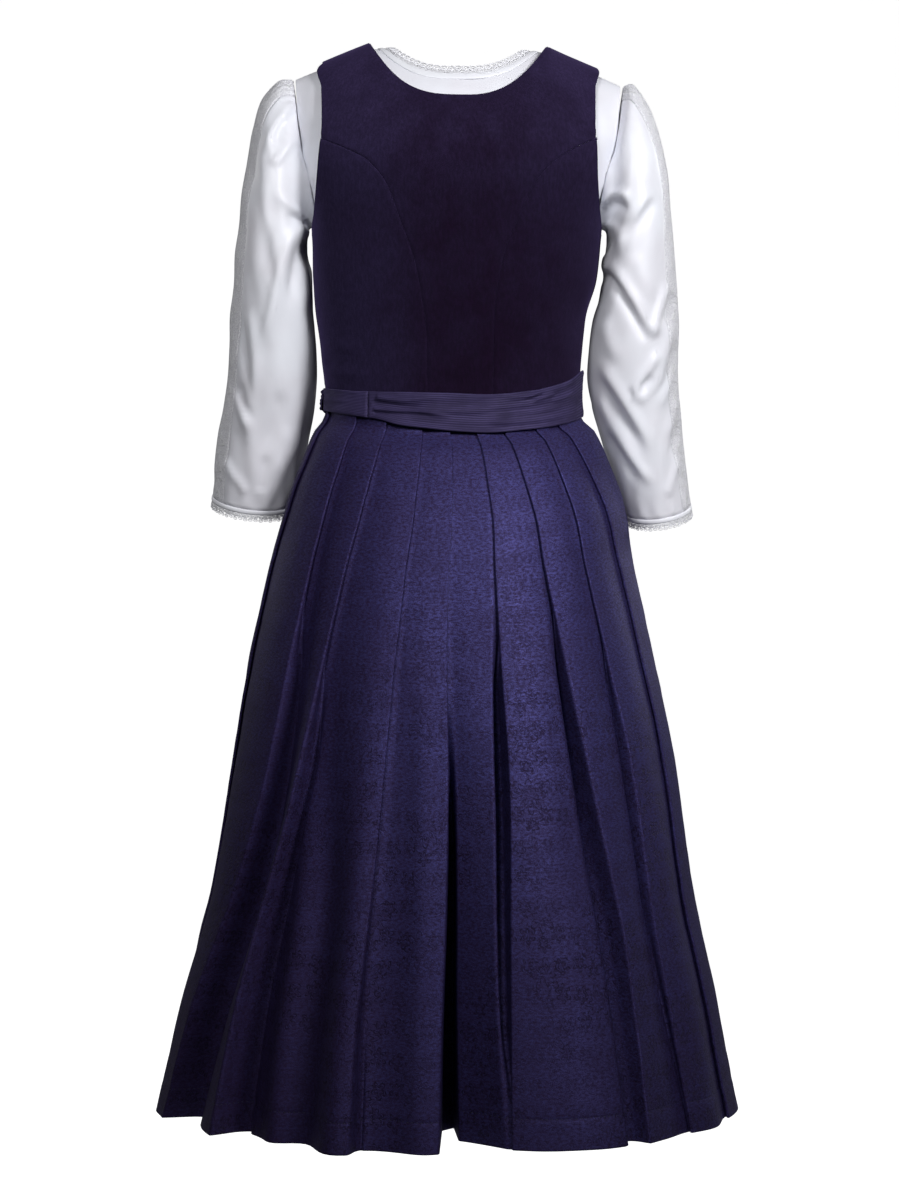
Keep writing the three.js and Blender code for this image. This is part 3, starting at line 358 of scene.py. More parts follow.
@dataclass
class Cloth:
    """A piece of cloth that stands for one CAD node, made from the grid of its outer face."""

    node: str
    kind: str
    grid: Grid
    thick: float
    material: Material
    corners: Array | None = None

    EDGE_REACH = 0.38  # how far the middle of a cut edge stands out, as a share of the thickness

    @property
    def name(self) -> str:
        """The piece's name."""
        return f"{self.node}_{self.kind}"

    def _rim(self) -> tuple[Array, list[tuple[Array, Array]]]:
        """Points half-way round the cut edge, and the loops of outer points that they follow."""
        at, out = self.grid.at, self.grid.normals()
        rows, columns = at.shape[:2]
        index = np.arange(rows * columns).reshape(rows, columns)
        away = np.zeros_like(at)
        away[0] += unit(at[0] - at[1])
        away[-1] += unit(at[-1] - at[-2])
        if self.grid.ring:
            loops = [index[0], index[-1][::-1]]
        else:
            away[:, 0] += unit(at[:, 0] - at[:, 1])
            away[:, -1] += unit(at[:, -1] - at[:, -2])
            loops = [np.concatenate([index[0, :-1], index[:-1, -1], index[-1, :0:-1], index[:0:-1, 0]])]
        points, pairs, first = [], [], 2 * rows * columns
        for loop in loops:
            middle = (at - out * self.thick / 2 + away * self.thick * self.EDGE_REACH).reshape(-1, 3)[loop]
            points.append(middle)
            pairs.append((loop, first + np.arange(len(loop))))
            first += len(loop)
        return np.concatenate(points), pairs

    def build(self) -> Object:
        """The piece as a closed shell with a rounded cut edge.

        Returns:
            Its object, linked to the scene.
        """
        grid = self.grid
        at, out = grid.at, grid.normals()
        rows, columns = at.shape[:2]
        size = rows * columns
        index = np.arange(size).reshape(rows, columns)
        nexts = np.roll(index, -1, axis=1) if grid.ring else index[:, 1:]
        here = index if grid.ring else index[:, :-1]
        outer = np.stack([here[:-1], nexts[:-1], nexts[1:], here[1:]], axis=-1).reshape(-1, 4)
        uv = grid.plain_uv() if grid.uv is None else grid.uv
        if self.corners is None:
            corner = np.stack([uv[:-1, :-1], uv[:-1, 1:], uv[1:, 1:], uv[1:, :-1]], axis=-2).reshape(-1, 4, 2)
        else:
            corner = self.corners.reshape(-1, 4, 2)
        a, b, c, d = (at.reshape(-1, 3)[outer[:, k]] for k in range(4))
        flip = float((np.cross(c - a, d - b) * out.reshape(-1, 3)[outer[:, 0]]).sum()) < 0
        rim, loops = self._rim()
        flat = uv.reshape(rows, -1, 2)[:, :columns].reshape(-1, 2)
        faces, spots = [outer, outer[:, ::-1] + size], [corner, corner[:, ::-1]]
        for loop, middle in loops:
            p, q, mp, mq = loop, np.roll(loop, -1), middle, np.roll(middle, -1)
            faces += [np.stack([q, p, mp, mq], -1), np.stack([mq, mp, p + size, q + size], -1)]
            spots += [np.stack([flat[q], flat[p], flat[p], flat[q]], 1)] * 2
        quads, places = np.concatenate(faces), np.concatenate(spots)
        if flip:
            quads, places = quads[:, ::-1], places[:, ::-1]
        points = np.concatenate([at.reshape(-1, 3), (at - out * self.thick).reshape(-1, 3), rim]) * MM
        mesh = bpy.data.meshes.new(self.name)
        mesh.from_pydata(points.tolist(), [], quads.tolist())
        layer = mesh.uv_layers.new(name="cloth")
        layer.data.foreach_set("uv", np.ascontiguousarray(places, np.float32).ravel())
        mesh.polygons.foreach_set("use_smooth", np.ones(len(quads), bool))
        mesh.materials.append(self.material)
        mesh.update()
        return linked(self.name, mesh)


def linked(name: str, data: bpy.types.ID) -> Object:
    """A new object in the scene, of a mesh, a light or a camera."""
    made = bpy.data.objects.new(name, data)
    bpy.context.scene.collection.objects.link(made)
    return made


def settle(made: Object, nodes: Iterable[str]) -> None:
    """Fixes a piece to the body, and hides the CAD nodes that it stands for."""
    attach(made, "root")
    if nodes:
        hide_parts(*nodes)
    LOG.info("%s: %d faces", made.name, len(made.data.polygons))


def lay(cloth: Cloth, slot: str, held: str, *rests_on: str, with_pieces: Sequence[Object] = ()) -> None:
    """Args:
        cloth: the piece.
        slot: its material slot; not used.
        held: how it is held; not used.
        rests_on: the CAD nodes that it lies on; not used.
        with_pieces: separate pieces that are sewn to it; not used.
    """
    made = cloth.build()
    settle(made, [cloth.node])
    width, length = cloth.grid.flat_size()
    area = min(max(cloth.grid.area(), LEAST_AREA * width * length), width * length)


# ---- Shader tools --------------------------------------------------------------------------------
def tint(red: int, green: int, blue: int) -> Colour:
    """A colour given as shown on a screen, 0 to 255 each, as the light it stands for."""
    def one(value: int) -> float:
        """One of the three."""
        share = value / 255
        return share / 12.92 if share <= 0.04045 else ((share + 0.055) / 1.055) ** 2.4
    return one(red), one(green), one(blue), 1.0


def spaced(inputs: dict[str, object]) -> dict[str, object]:
    """The same inputs under their names in a tree, with a space for each _."""
    return {name.replace("_", " "): value for name, value in inputs.items()}


class Wiring:
    """Adds nodes to a tree and joins them."""

    def __init__(self, tree: Tree) -> None:
        """Works in one tree."""
        self.tree = tree

    def node(self, kind: str, inputs: dict[str | int, object] | None = None,
             **settings: object) -> Node:
        """A new node.

        Args:
            kind: its type.
            inputs: constants or sockets for its inputs, by name or number.
            settings: its own properties.

        Returns:
            The node.
        """
        made = self.tree.nodes.new(kind)
        for name, value in settings.items():
            setattr(made, name, value)
        for key, value in (inputs or {}).items():
            if isinstance(value, Socket):
                self.tree.links.new(value, made.inputs[key])
            else:
                made.inputs[key].default_value = value
        return made

    def math(self, operation: str, *values: object) -> Socket:
        """The result of a Math node."""
        return self.node("ShaderNodeMath", dict(enumerate(values)), operation=operation).outputs[0]

    def times(self, first: object, second: object) -> Socket:
        """The product of two values."""
        return self.math("MULTIPLY", first, second)

    def plus(self, first: object, second: object) -> Socket:
        """The sum of two values."""
        return self.math("ADD", first, second)

    def minus(self, first: object, second: object) -> Socket:
        """The first value less the second."""
        return self.math("SUBTRACT", first, second)

    def most(self, *values: object) -> Socket:
        """The highest of some values."""
        highest = values[0]
        for value in values[1:]:
            highest = self.math("MAXIMUM", highest, value)
        return highest

    def off(self, first: object, second: object) -> Socket:
        """How far apart two values are."""
        return self.math("ABSOLUTE", self.minus(first, second))

    def polar(self, x: object, y: object, petals: float) -> tuple[Socket, Socket]:
        """How far a place is from the middle, and a wave of that many petals round it."""
        far = self.math("SQRT", self.plus(self.times(x, x), self.times(y, y)))
        return far, self.math("ABSOLUTE", self.math("COSINE", self.times(self.math("ARCTAN2", x, y), petals)))

    def mix(self, share: object, first: object, second: object) -> Socket:
        """A colour between two."""
        return self.node("ShaderNodeMix", {0: share, 6: first, 7: second}, data_type="RGBA").outputs[2]

    def spread(self, value: object, low: float, high: float, to_low: float = 0.0,
               to_high: float = 1.0) -> Socket:
        """A value brought softly from one span to another."""
        return self.node("ShaderNodeMapRange", {0: value, 1: low, 2: high, 3: to_low, 4: to_high},
                         interpolation_type="SMOOTHSTEP").outputs[0]

    def noise(self, at: object, scale: object, detail: float = 2.0, rough: float = 0.5) -> Socket:
        """Even noise from 0 to 1."""
        return self.node("ShaderNodeTexNoise",
                         {"Vector": at, "Scale": scale, "Detail": detail, "Roughness": rough}).outputs[0]

    def parts(self, at: object) -> tuple[Socket, ...]:
        """A vector's three coordinates."""
        return tuple(self.node("ShaderNodeSeparateXYZ", {0: at}).outputs)

    def joined(self, x: object, y: object, z: object = 0.0) -> Socket:
        """A vector of three coordinates."""
        return self.node("ShaderNodeCombineXYZ", {0: x, 1: y, 2: z}).outputs[0]

    def group(self, tree: Tree, **inputs: object) -> Node:
        """A node group placed with its own values."""
        return self.node("ShaderNodeGroup", spaced(inputs), node_tree=tree)

    def bump(self, height: object, strength: float, distance: float) -> Socket:
        """A normal that follows a height."""
        return self.node("ShaderNodeBump",
                         {"Height": height, "Strength": strength, "Distance": distance}).outputs[0]

    def vectors(self, operation: str, first: object, second: object) -> Socket:
        """The result of a Vector Math node."""
        return self.node("ShaderNodeVectorMath", {0: first, 1: second}, operation=operation).outputs[0]

    def tube(self, radius: object, thick: float, sides: int, wire_sides: int) -> Socket:
        """A ring of round wire."""
        ring, wire = (
            self.node("GeometryNodeCurvePrimitiveCircle", {"Resolution": count, "Radius": size},
                      mode="RADIUS")
            for count, size in ((sides, radius), (wire_sides, thick * MM)))
        return self.node("GeometryNodeCurveToMesh",
                         {"Curve": ring.outputs[0], "Profile Curve": wire.outputs[0]}).outputs[0]

    def placed(self, geometry: Socket, place: object = (0, 0, 0), scale: object = (1, 1, 1)) -> Socket:
        """A geometry moved and scaled."""
        return self.node("GeometryNodeTransform",
                         {"Geometry": geometry, "Translation": place, "Scale": scale}).outputs[0]

    def together(self, *parts: Socket) -> Socket:
        """Several geometries as one."""
        joined = self.node("GeometryNodeJoinGeometry")
        for part in parts:
            self.tree.links.new(part, joined.inputs[0])
        return joined.outputs[0]


def effect(name: str, inputs: dict[str, float | None], outputs: Sequence[str],
           wire: Callable[[Wiring, Given], Sequence[Socket]]
           ) -> Tree:
    """A node group that materials share; it is built once.

    Args:
        name: the group's name.
        inputs: each input's usual value, or None for a vector.
        outputs: the names of its outputs.
        wire: builds the inside from the input sockets, and gives one socket for each output.

    Returns:
        The group's tree.
    """
    if name in bpy.data.node_groups:
        return bpy.data.node_groups[name]
    tree = bpy.data.node_groups.new(name, "ShaderNodeTree")
    for key, value in inputs.items():
        kind = "NodeSocketVector" if value is None else "NodeSocketFloat"
        socket = tree.interface.new_socket(name=key, in_out="INPUT", socket_type=kind)
        if value is not None:
            socket.default_value = value
    for key in outputs:
        tree.interface.new_socket(name=key, in_out="OUTPUT", socket_type="NodeSocketFloat")
    wiring = Wiring(tree)
    source = wiring.node("NodeGroupInput")
    results = wire(wiring, {key: source.outputs[key] for key in inputs})
    wiring.node("NodeGroupOutput", dict(zip(outputs, results)))
    return tree


class Effects:
    """The node groups that the finishes share."""

    @staticmethod
    def patches() -> Tree:
        """Cloudy patches of one tone in another, with soft borders."""
        def wire(w: Wiring, given: Given) -> list[Socket]:
            """Two sizes of noise over each other."""
            wide = w.noise(given["Vector"], given["Scale"], 3.0, 0.55)
            small = w.noise(given["Vector"], w.times(given["Scale"], 4.3), 2.0, 0.6)
            return [w.spread(w.plus(w.times(wide, 0.75), w.times(small, 0.25)), 0.36, 0.64)]
        return effect("cloudy patches", {"Vector": None, "Scale": 12.0}, ["Mask"], wire)

    @staticmethod
    def weave() -> Tree:
        """Threads over and under each other, a little uneven."""
        def wire(w: Wiring, given: Given) -> list[Socket]:
            """Two crossed waves whose threads waver."""
            waver = w.times(w.minus(w.noise(given["Vector"], 160.0), 0.5), 2.2)
            x, y, _ = w.parts(given["Vector"])
            rate = w.math("DIVIDE", 2 * math.pi, given["Pitch"])
            across = w.math("SINE", w.plus(w.times(x, rate), waver))
            down = w.math("SINE", w.plus(w.times(y, rate), waver))
            over = w.times(across, down)
            slub = w.times(w.noise(w.joined(w.times(x, 0.12), y), 900.0), 0.7)
            return [w.plus(w.plus(w.times(over, 0.35), 0.3), slub)]
        return effect("weave", {"Vector": None, "Pitch": 0.0006}, ["Height"], wire)

    @staticmethod
    def ribs() -> Tree:
        """Fine round ribs along one way of the cloth, which waver and now and then fade."""
        def wire(w: Wiring, given: Given) -> list[Socket]:
            """One wave across the ribs."""
            x, y, _ = w.parts(given["Vector"])
            stretched = w.joined(w.times(x, 0.3), y)
            waver = w.times(w.minus(w.noise(stretched, 70.0, 2.0), 0.5), given["Waver"])
            turn = w.plus(w.times(y, w.math("DIVIDE", 2 * math.pi, given["Pitch"])), waver)
            wave = w.plus(w.times(w.math("SINE", turn), 0.5), 0.5)
            strength = w.spread(w.noise(stretched, 60.0, 3.0, 0.6), 0.3, 0.65, 0.15, 1.0)
            return [w.times(wave, strength)]
        return effect("fine ribs", {"Vector": None, "Pitch": 0.0025, "Waver": 2.5}, ["Height"], wire)

    @staticmethod
    def nap() -> Tree:
        """Short upright pile: fine grain and slightly longer strokes down the cloth."""
        def wire(w: Wiring, given: Given) -> list[Socket]:
            """Fine noise and the same drawn out downwards."""
            fine = w.noise(given["Vector"], given["Scale"], 2.0, 0.7)
            x, y, z = w.parts(given["Vector"])
            long = w.noise(w.joined(x, y, w.times(z, 0.35)), w.times(given["Scale"], 0.45))
            return [w.plus(w.times(fine, 0.6), w.times(long, 0.5))]
        return effect("nap", {"Vector": None, "Scale": 900.0}, ["Height"], wire)

    @staticmethod
    def damask() -> Tree:
        """Drop-repeated palmettes between climbing sprays of small leaves, as thin broken outlines."""
        def fan(w: Wiring, x: object, y: object, centre: tuple[float, float], size: float, petals: float,
                depth: float, thick: float) -> tuple[Socket, Socket]:
            """A motif of pointed leaves round a centre: its outlines, and the ground that it covers."""
            far, lobes = w.polar(w.minus(x, centre[0]), w.minus(y, centre[1]), petals)
            edge = w.plus(w.times(lobes, depth), size)
            inner = w.plus(w.times(lobes, depth * 0.7), size * 0.45)
            rings = w.most(*(w.spread(w.off(far, at), thick, thick * 0.3) for at in (edge, inner)))
            vein = w.times(w.spread(lobes, 0.16, 0.04), w.spread(far, size + depth * 0.4, size))
            return w.most(rings, vein), w.spread(w.minus(far, edge), 0.02, -0.02)

        def wire(w: Wiring, given: Given) -> list[Socket]:
            """One cell, mirrored about its middle, every other column dropped by half."""
            bend = w.node("ShaderNodeTexNoise",
                          {"Vector": given["Vector"], "Scale": 150.0, "Detail": 1.0}).outputs[1]
            wander = w.vectors("MULTIPLY", w.vectors("SUBTRACT", bend, (0.5, 0.5, 0.5)), (0.003, 0.003, 0))
            u, v, _ = w.parts(w.vectors("ADD", given["Vector"], wander))
            column = w.math("DIVIDE", u, given["Width"])
            odd = w.math("MODULO", w.math("ABSOLUTE", w.math("FLOOR", column)), 2.0)
            row = w.plus(w.math("DIVIDE", v, given["Height"]), w.times(odd, 0.5))
            x, y = w.off(w.math("FRACT", column), 0.5), w.minus(w.math("FRACT", row), 0.5)
            motifs = [fan(w, x, y, *motif) for motif in (
                ((0.0, -0.12), 0.13, 4.0, 0.17, 0.026), ((0.30, 0.20), 0.05, 3.0, 0.11, 0.024),
                ((0.33, -0.26), 0.05, 2.5, 0.10, 0.024), ((0.0, 0.36), 0.04, 3.0, 0.10, 0.024))]
            line, ground = (w.most(*layer) for layer in zip(*motifs))
            worn = w.spread(w.noise(given["Vector"], 260.0, 2.0), 0.36, 0.60, 0.15, 1.0)
            faded = w.times(w.spread(w.noise(given["Vector"], 9.0, 1.0), 0.35, 0.6, 0.35, 1.0),
                            w.spread(given["Fall"], 0.1, 0.6, 0.3, 1.0))
            return [w.times(line, w.times(worn, faded)), ground]
        return effect("damask", {"Vector": None, "Fall": 0.5, "Width": 0.054, "Height": 0.062},
                      ["Line", "Ground"], wire)

    @staticmethod
    def lace() -> Tree:
        """A net ground, and cords that wander over it with small petals."""
        def wire(w: Wiring, given: Given) -> list[Socket]:
            """Cells of the net, a doubled meander, and rings along it."""
            u, v, _ = w.parts(given["Vector"])
            cell = w.node("ShaderNodeTexVoronoi", {"Vector": given["Vector"], "Scale": 620.0},
                          feature="DISTANCE_TO_EDGE").outputs[0]
            net = w.spread(cell, 0.18, 0.08)
            turn = w.times(v, w.math("DIVIDE", 2 * math.pi, given["Repeat"]))
            sway = w.times(w.math("SINE", turn), given["Sway"])
            first = w.spread(w.off(u, sway), 0.0012, 0.0005)
            cross = w.times(w.math("SINE", w.times(turn, 2.0)), w.times(given["Sway"], 0.8))
            stray = w.math("ABSOLUTE", w.plus(w.times(sway, 0.35), w.minus(u, cross)))
            second = w.spread(stray, 0.0011, 0.0004)
            half = w.times(given["Repeat"], 0.5)
            side = w.times(w.math("SIGN", w.math("SINE", turn)), w.times(given["Sway"], -0.55))
            down = w.times(w.minus(w.math("FRACT", w.math("DIVIDE", v, half)), 0.5), half)
            far, lobes = w.polar(w.plus(u, side), down, 2.5)
            petal = w.spread(w.off(far, w.plus(w.times(lobes, 0.0012), 0.0018)), 0.0011, 0.0004)
            return [w.most(first, second, petal), net]
        return effect("lace", {"Vector": None, "Repeat": 0.024, "Sway": 0.0045}, ["Cords", "Net"], wire)


def surface(name: str, base: object, wiring: Wiring, **sockets: object) -> None:
    """Joins a Principled surface to a material's output.

    Args:
        name: the shader's name in the tree.
        base: its base colour.
        wiring: the material's tree.
        sockets: the shader's other inputs, by name with _ for a space.
    """
    shader = wiring.node("ShaderNodeBsdfPrincipled", {"Base Color": base, **spaced(sockets)}, label=name)
    wiring.node("ShaderNodeOutputMaterial", {"Surface": shader.outputs[0]})


def blank(name: str) -> tuple[Material, Wiring, Node]:
    """A new material with its empty tree and texture coordinates."""
    material = bpy.data.materials.new(name)
    material.use_nodes = True
    material.node_tree.nodes.clear()
    wiring = Wiring(material.node_tree)
    return material, wiring, wiring.node("ShaderNodeTexCoord")


# ---- Finishes ------------------------------------------------------------------------------------
@dataclass(frozen=True)
class Velvet:
    """Short-piled cotton velvet whose nap lies a little differently from patch to patch, with painted sheen
    and light.
    """

    dark: Colour = tint(17, 5, 24)
    light: Colour = tint(31, 25, 50)
    # painted sheen: the lighter tone laid over the top of the bodice, near the shoulders
    shoulder: Colour = tint(42, 33, 62)

    def material(self) -> Material:
        """The finish for the bodice."""
        material, w, source = blank("velvet")
        at = source.outputs["Object"]
        cloud = w.group(Effects.patches(), Vector=at, Scale=9.0).outputs[0]
        x, _, z = w.parts(at)
        # painted sheen and light: the colour is lifted towards the wearer's left edge and at the upper right,
        # and takes the shoulder tone at the top; the cloudy patches add random tone
        left = w.spread(x, -0.01, -0.15, 0.0, 0.85)
        right = w.times(w.spread(x, 0.0, 0.12, 0.0, 0.35), w.spread(z, -0.30, -0.12, 0.0, 1.0))
        top = w.spread(z, -0.20, -0.02, 0.0, 0.9)
        grain = w.group(Effects.nap(), Vector=at, Scale=850.0).outputs[0]
        lift = w.plus(w.times(cloud, 0.32), w.plus(left, right))
        colour = w.mix(w.math("MINIMUM", lift, 1.0), self.dark, self.light)
        colour = w.mix(w.times(top, w.spread(cloud, 0.0, 1.0, 0.45, 1.0)), colour, self.shoulder)
        speck = w.spread(grain, 0.40, 0.75, 0.72, 1.3)
        colour = w.node("ShaderNodeVectorMath", {0: colour, "Scale": speck}, operation="SCALE").outputs[0]
        normal = w.bump(grain, 0.35, 0.0006)
        surface(material.name, colour, w, Roughness=0.95, Normal=normal, Specular_IOR_Level=0.08,
                Sheen_Weight=0.16, Sheen_Roughness=0.5, Sheen_Tint=(0.42, 0.30, 0.85, 1.0))
        return material


@dataclass(frozen=True)
class Jacquard:
    """Melange cloth with tonal figures: blue and black threads speckled over each other."""

    dark: Colour = tint(27, 11, 32)
    light: Colour = tint(60, 60, 112)
    line: Colour = tint(12, 6, 18)

    def material(self) -> Material:
        """The finish for the skirt."""
        material, w, source = blank("jacquard")
        at = source.outputs["UV"]
        x, y, _ = w.parts(at)
        speck = w.noise(w.joined(x, w.times(y, 0.8)), 1150.0, 1.0, 0.7)
        strokes = w.noise(w.joined(w.times(x, 0.55), y), 420.0, 1.0)
        mixed = w.plus(w.times(speck, 0.6), w.times(strokes, 0.4))
        line, ground = w.group(Effects.damask(), Vector=at, Fall=y).outputs
        patch = w.group(Effects.patches(), Vector=source.outputs["Object"], Scale=14.0).outputs[0]
        heather = w.spread(mixed, 0.36, 0.66)
        side, _, _ = w.parts(source.outputs["Object"])
        # painted shade and light: this dims the blue, and with it the metallic gloss, towards the hem and
        # towards the wearer's left, and lifts it on the right
        worn = w.times(w.spread(y, 0.3, 0.78, 1.0, 0.7), w.spread(side, -0.19, 0.02, 0.62, 1.1))
        blue = w.times(w.times(heather, w.spread(patch, 0.0, 1.0, 0.8, 1.0)),
                      w.spread(ground, 0.0, 1.0, 1.0, 0.92))
        blue = w.times(blue, w.times(w.spread(line, 0.0, 1.0, 1.0, 0.3), worn))
        colour = w.mix(blue, self.dark, self.light)
        colour = w.mix(w.times(line, 0.8), colour, self.line)
        height = w.plus(w.times(line, -0.9), w.times(mixed, 0.9))
        normal = w.bump(height, 0.5, 0.0006)
        surface(material.name, colour, w, Roughness=w.spread(blue, 0.0, 1.0, 0.62, 0.47), Normal=normal,
                Metallic=w.times(blue, 0.5), Specular_IOR_Level=0.4, Specular_Tint=(0.45, 0.40, 1.0, 1.0))
        return material


@dataclass(frozen=True)
class RibbedCloth:
    """Thin cloth with fine ribs, in a greyed violet."""

    name: str
    pitch: float
    upright: bool = False
    groove: Colour = tint(24, 18, 42)
    crest: Colour = tint(62, 54, 94)

    def material(self) -> Material:
        """The finish for the apron or its ties."""
        material, w, source = blank(self.name)
        at = source.outputs["UV"]
        if self.upright:
            x, y, _ = w.parts(at)
            at = w.joined(y, x)
        ribs = w.group(Effects.ribs(), Vector=at, Pitch=self.pitch).outputs[0]
        weave = w.group(Effects.weave(), Vector=at, Pitch=0.0008).outputs[0]
        cloud = w.group(Effects.patches(), Vector=source.outputs["Object"], Scale=16.0).outputs[0]
        # painted shade and light: the grooves between the ribs are coloured darker and their crests lighter;
        # the weave and cloudy patches add random tone
        tone = w.plus(w.times(ribs, 0.62), w.times(w.plus(weave, cloud), 0.22))
        colour = w.mix(w.math("MINIMUM", tone, 1.0), self.groove, self.crest)
        height = w.plus(ribs, w.times(weave, 0.18))
        normal = w.bump(height, 0.38, 0.0008)
        rough = w.spread(ribs, 0.0, 1.0, 0.75, 0.55)
        surface(material.name, colour, w, Roughness=rough, Normal=normal, Specular_IOR_Level=0.3,
                Specular_Tint=(0.75, 0.7, 1.0, 1.0), Sheen_Weight=0.06, Sheen_Roughness=0.4,
                Sheen_Tint=(0.6, 0.5, 0.95, 1.0))
        return material


@dataclass(frozen=True)
class Cotton:
    """White satin-woven cotton with a soft gloss."""

    name: str
    white: Colour = tint(232, 234, 242)
    shade: Colour = tint(222, 220, 228)
    gloss: float = 0.42

    def material(self) -> Material:
        """The finish for the blouse's cloth."""
        material, w, source = blank(self.name)
        at = source.outputs["UV"]
        weave = w.group(Effects.weave(), Vector=at, Pitch=0.0007).outputs[0]
        cloud = w.group(Effects.patches(), Vector=source.outputs["Object"], Scale=7.0).outputs[0]
        colour = w.mix(w.times(cloud, 0.7), self.white, self.shade)
        rough = w.spread(weave, 0.2, 0.9, self.gloss + 0.06, self.gloss - 0.04)
        normal = w.bump(weave, 0.10, 0.00025)
        surface(material.name, colour, w, Roughness=rough, Normal=normal, Specular_IOR_Level=0.5,
                Sheen_Weight=0.08, Sheen_Roughness=0.35)
        return material


@dataclass(frozen=True)
class LaceCloth:
    """White cotton lace: cords and petals on a net ground."""

    name: str
    repeat: float
    sway: float
    open_net: bool = False
    cord: Colour = tint(244, 245, 249)
    ground: Colour = tint(204, 203, 213)

    def material(self) -> Material:
        """The finish for an insertion or an edging."""
        material, w, source = blank(self.name)
        at = source.outputs["UV"]
        cords, net = w.group(Effects.lace(), Vector=at, Repeat=self.repeat, Sway=self.sway).outputs
        shown = w.most(cords, w.times(net, 0.55))
        colour = w.mix(w.most(cords, w.times(net, 0.75)), self.ground, self.cord)
        normal = w.bump(w.plus(cords, w.times(net, 0.25)), 0.9, 0.0012)
        more = {"Alpha": w.spread(w.most(cords, net), 0.15, 0.5, 0.12, 1.0)} if self.open_net else {}
        surface(material.name, colour, w, Roughness=w.spread(shown, 0.0, 1.0, 0.85, 0.6), Normal=normal,
                Sheen_Weight=0.1, **more)
        return material


@dataclass(frozen=True)
class Thread:
    """Twisted sewing or lace thread."""

    name: str
    colour: Colour
    dark: Colour

    def material(self) -> Material:
        """The finish for stitches and loops."""
        material, w, source = blank(self.name)
        twist = w.noise(source.outputs["Object"], 1400.0, 1.0)
        colour = w.mix(w.spread(twist, 0.3, 0.7), self.dark, self.colour)
        surface(material.name, colour, w, Roughness=0.7, Normal=w.bump(twist, 0.3, 0.0002))
        return material


@dataclass(frozen=True)
class ButtonMetal:
    """Dull dark metal with a rubbed rim."""

    dark: Colour = tint(58, 54, 76)
    rubbed: Colour = tint(118, 114, 138)

    def material(self) -> Material:
        """The finish for the buttons."""
        material, w, source = blank("button metal")
        marks = w.noise(source.outputs["Object"], 620.0, 3.0, 0.6)
        colour = w.mix(w.spread(marks, 0.4, 0.7), self.dark, self.rubbed)
        surface(material.name, colour, w, Metallic=0.7, Roughness=w.spread(marks, 0.3, 0.7, 0.32, 0.55),
                Normal=w.bump(marks, 0.3, 0.0002))
        return material


# ---- The wearer's form ---------------------------------------------------------------------------
@dataclass
class Places:
    """Places on one half of the body: an angle across it and a climb up it, of one shape."""

    angle: Array
    climb: Array

    def __add__(self, other: "Places") -> "Places":
        """These places, then the other ones."""
        return Places(np.concatenate([self.angle, other.angle]), np.concatenate([self.climb, other.climb]))


@dataclass
class Columns:
    """Columns of a panel: shares of the way across, and the places where they end at a neckline."""

    share: Array
    end: Places | None = None

    def mirrored(self) -> "Columns":
        """The same columns on the other hand."""
        return Columns(1 - self.share[::-1], Places(-self.end.angle[::-1], self.end.climb[::-1]))


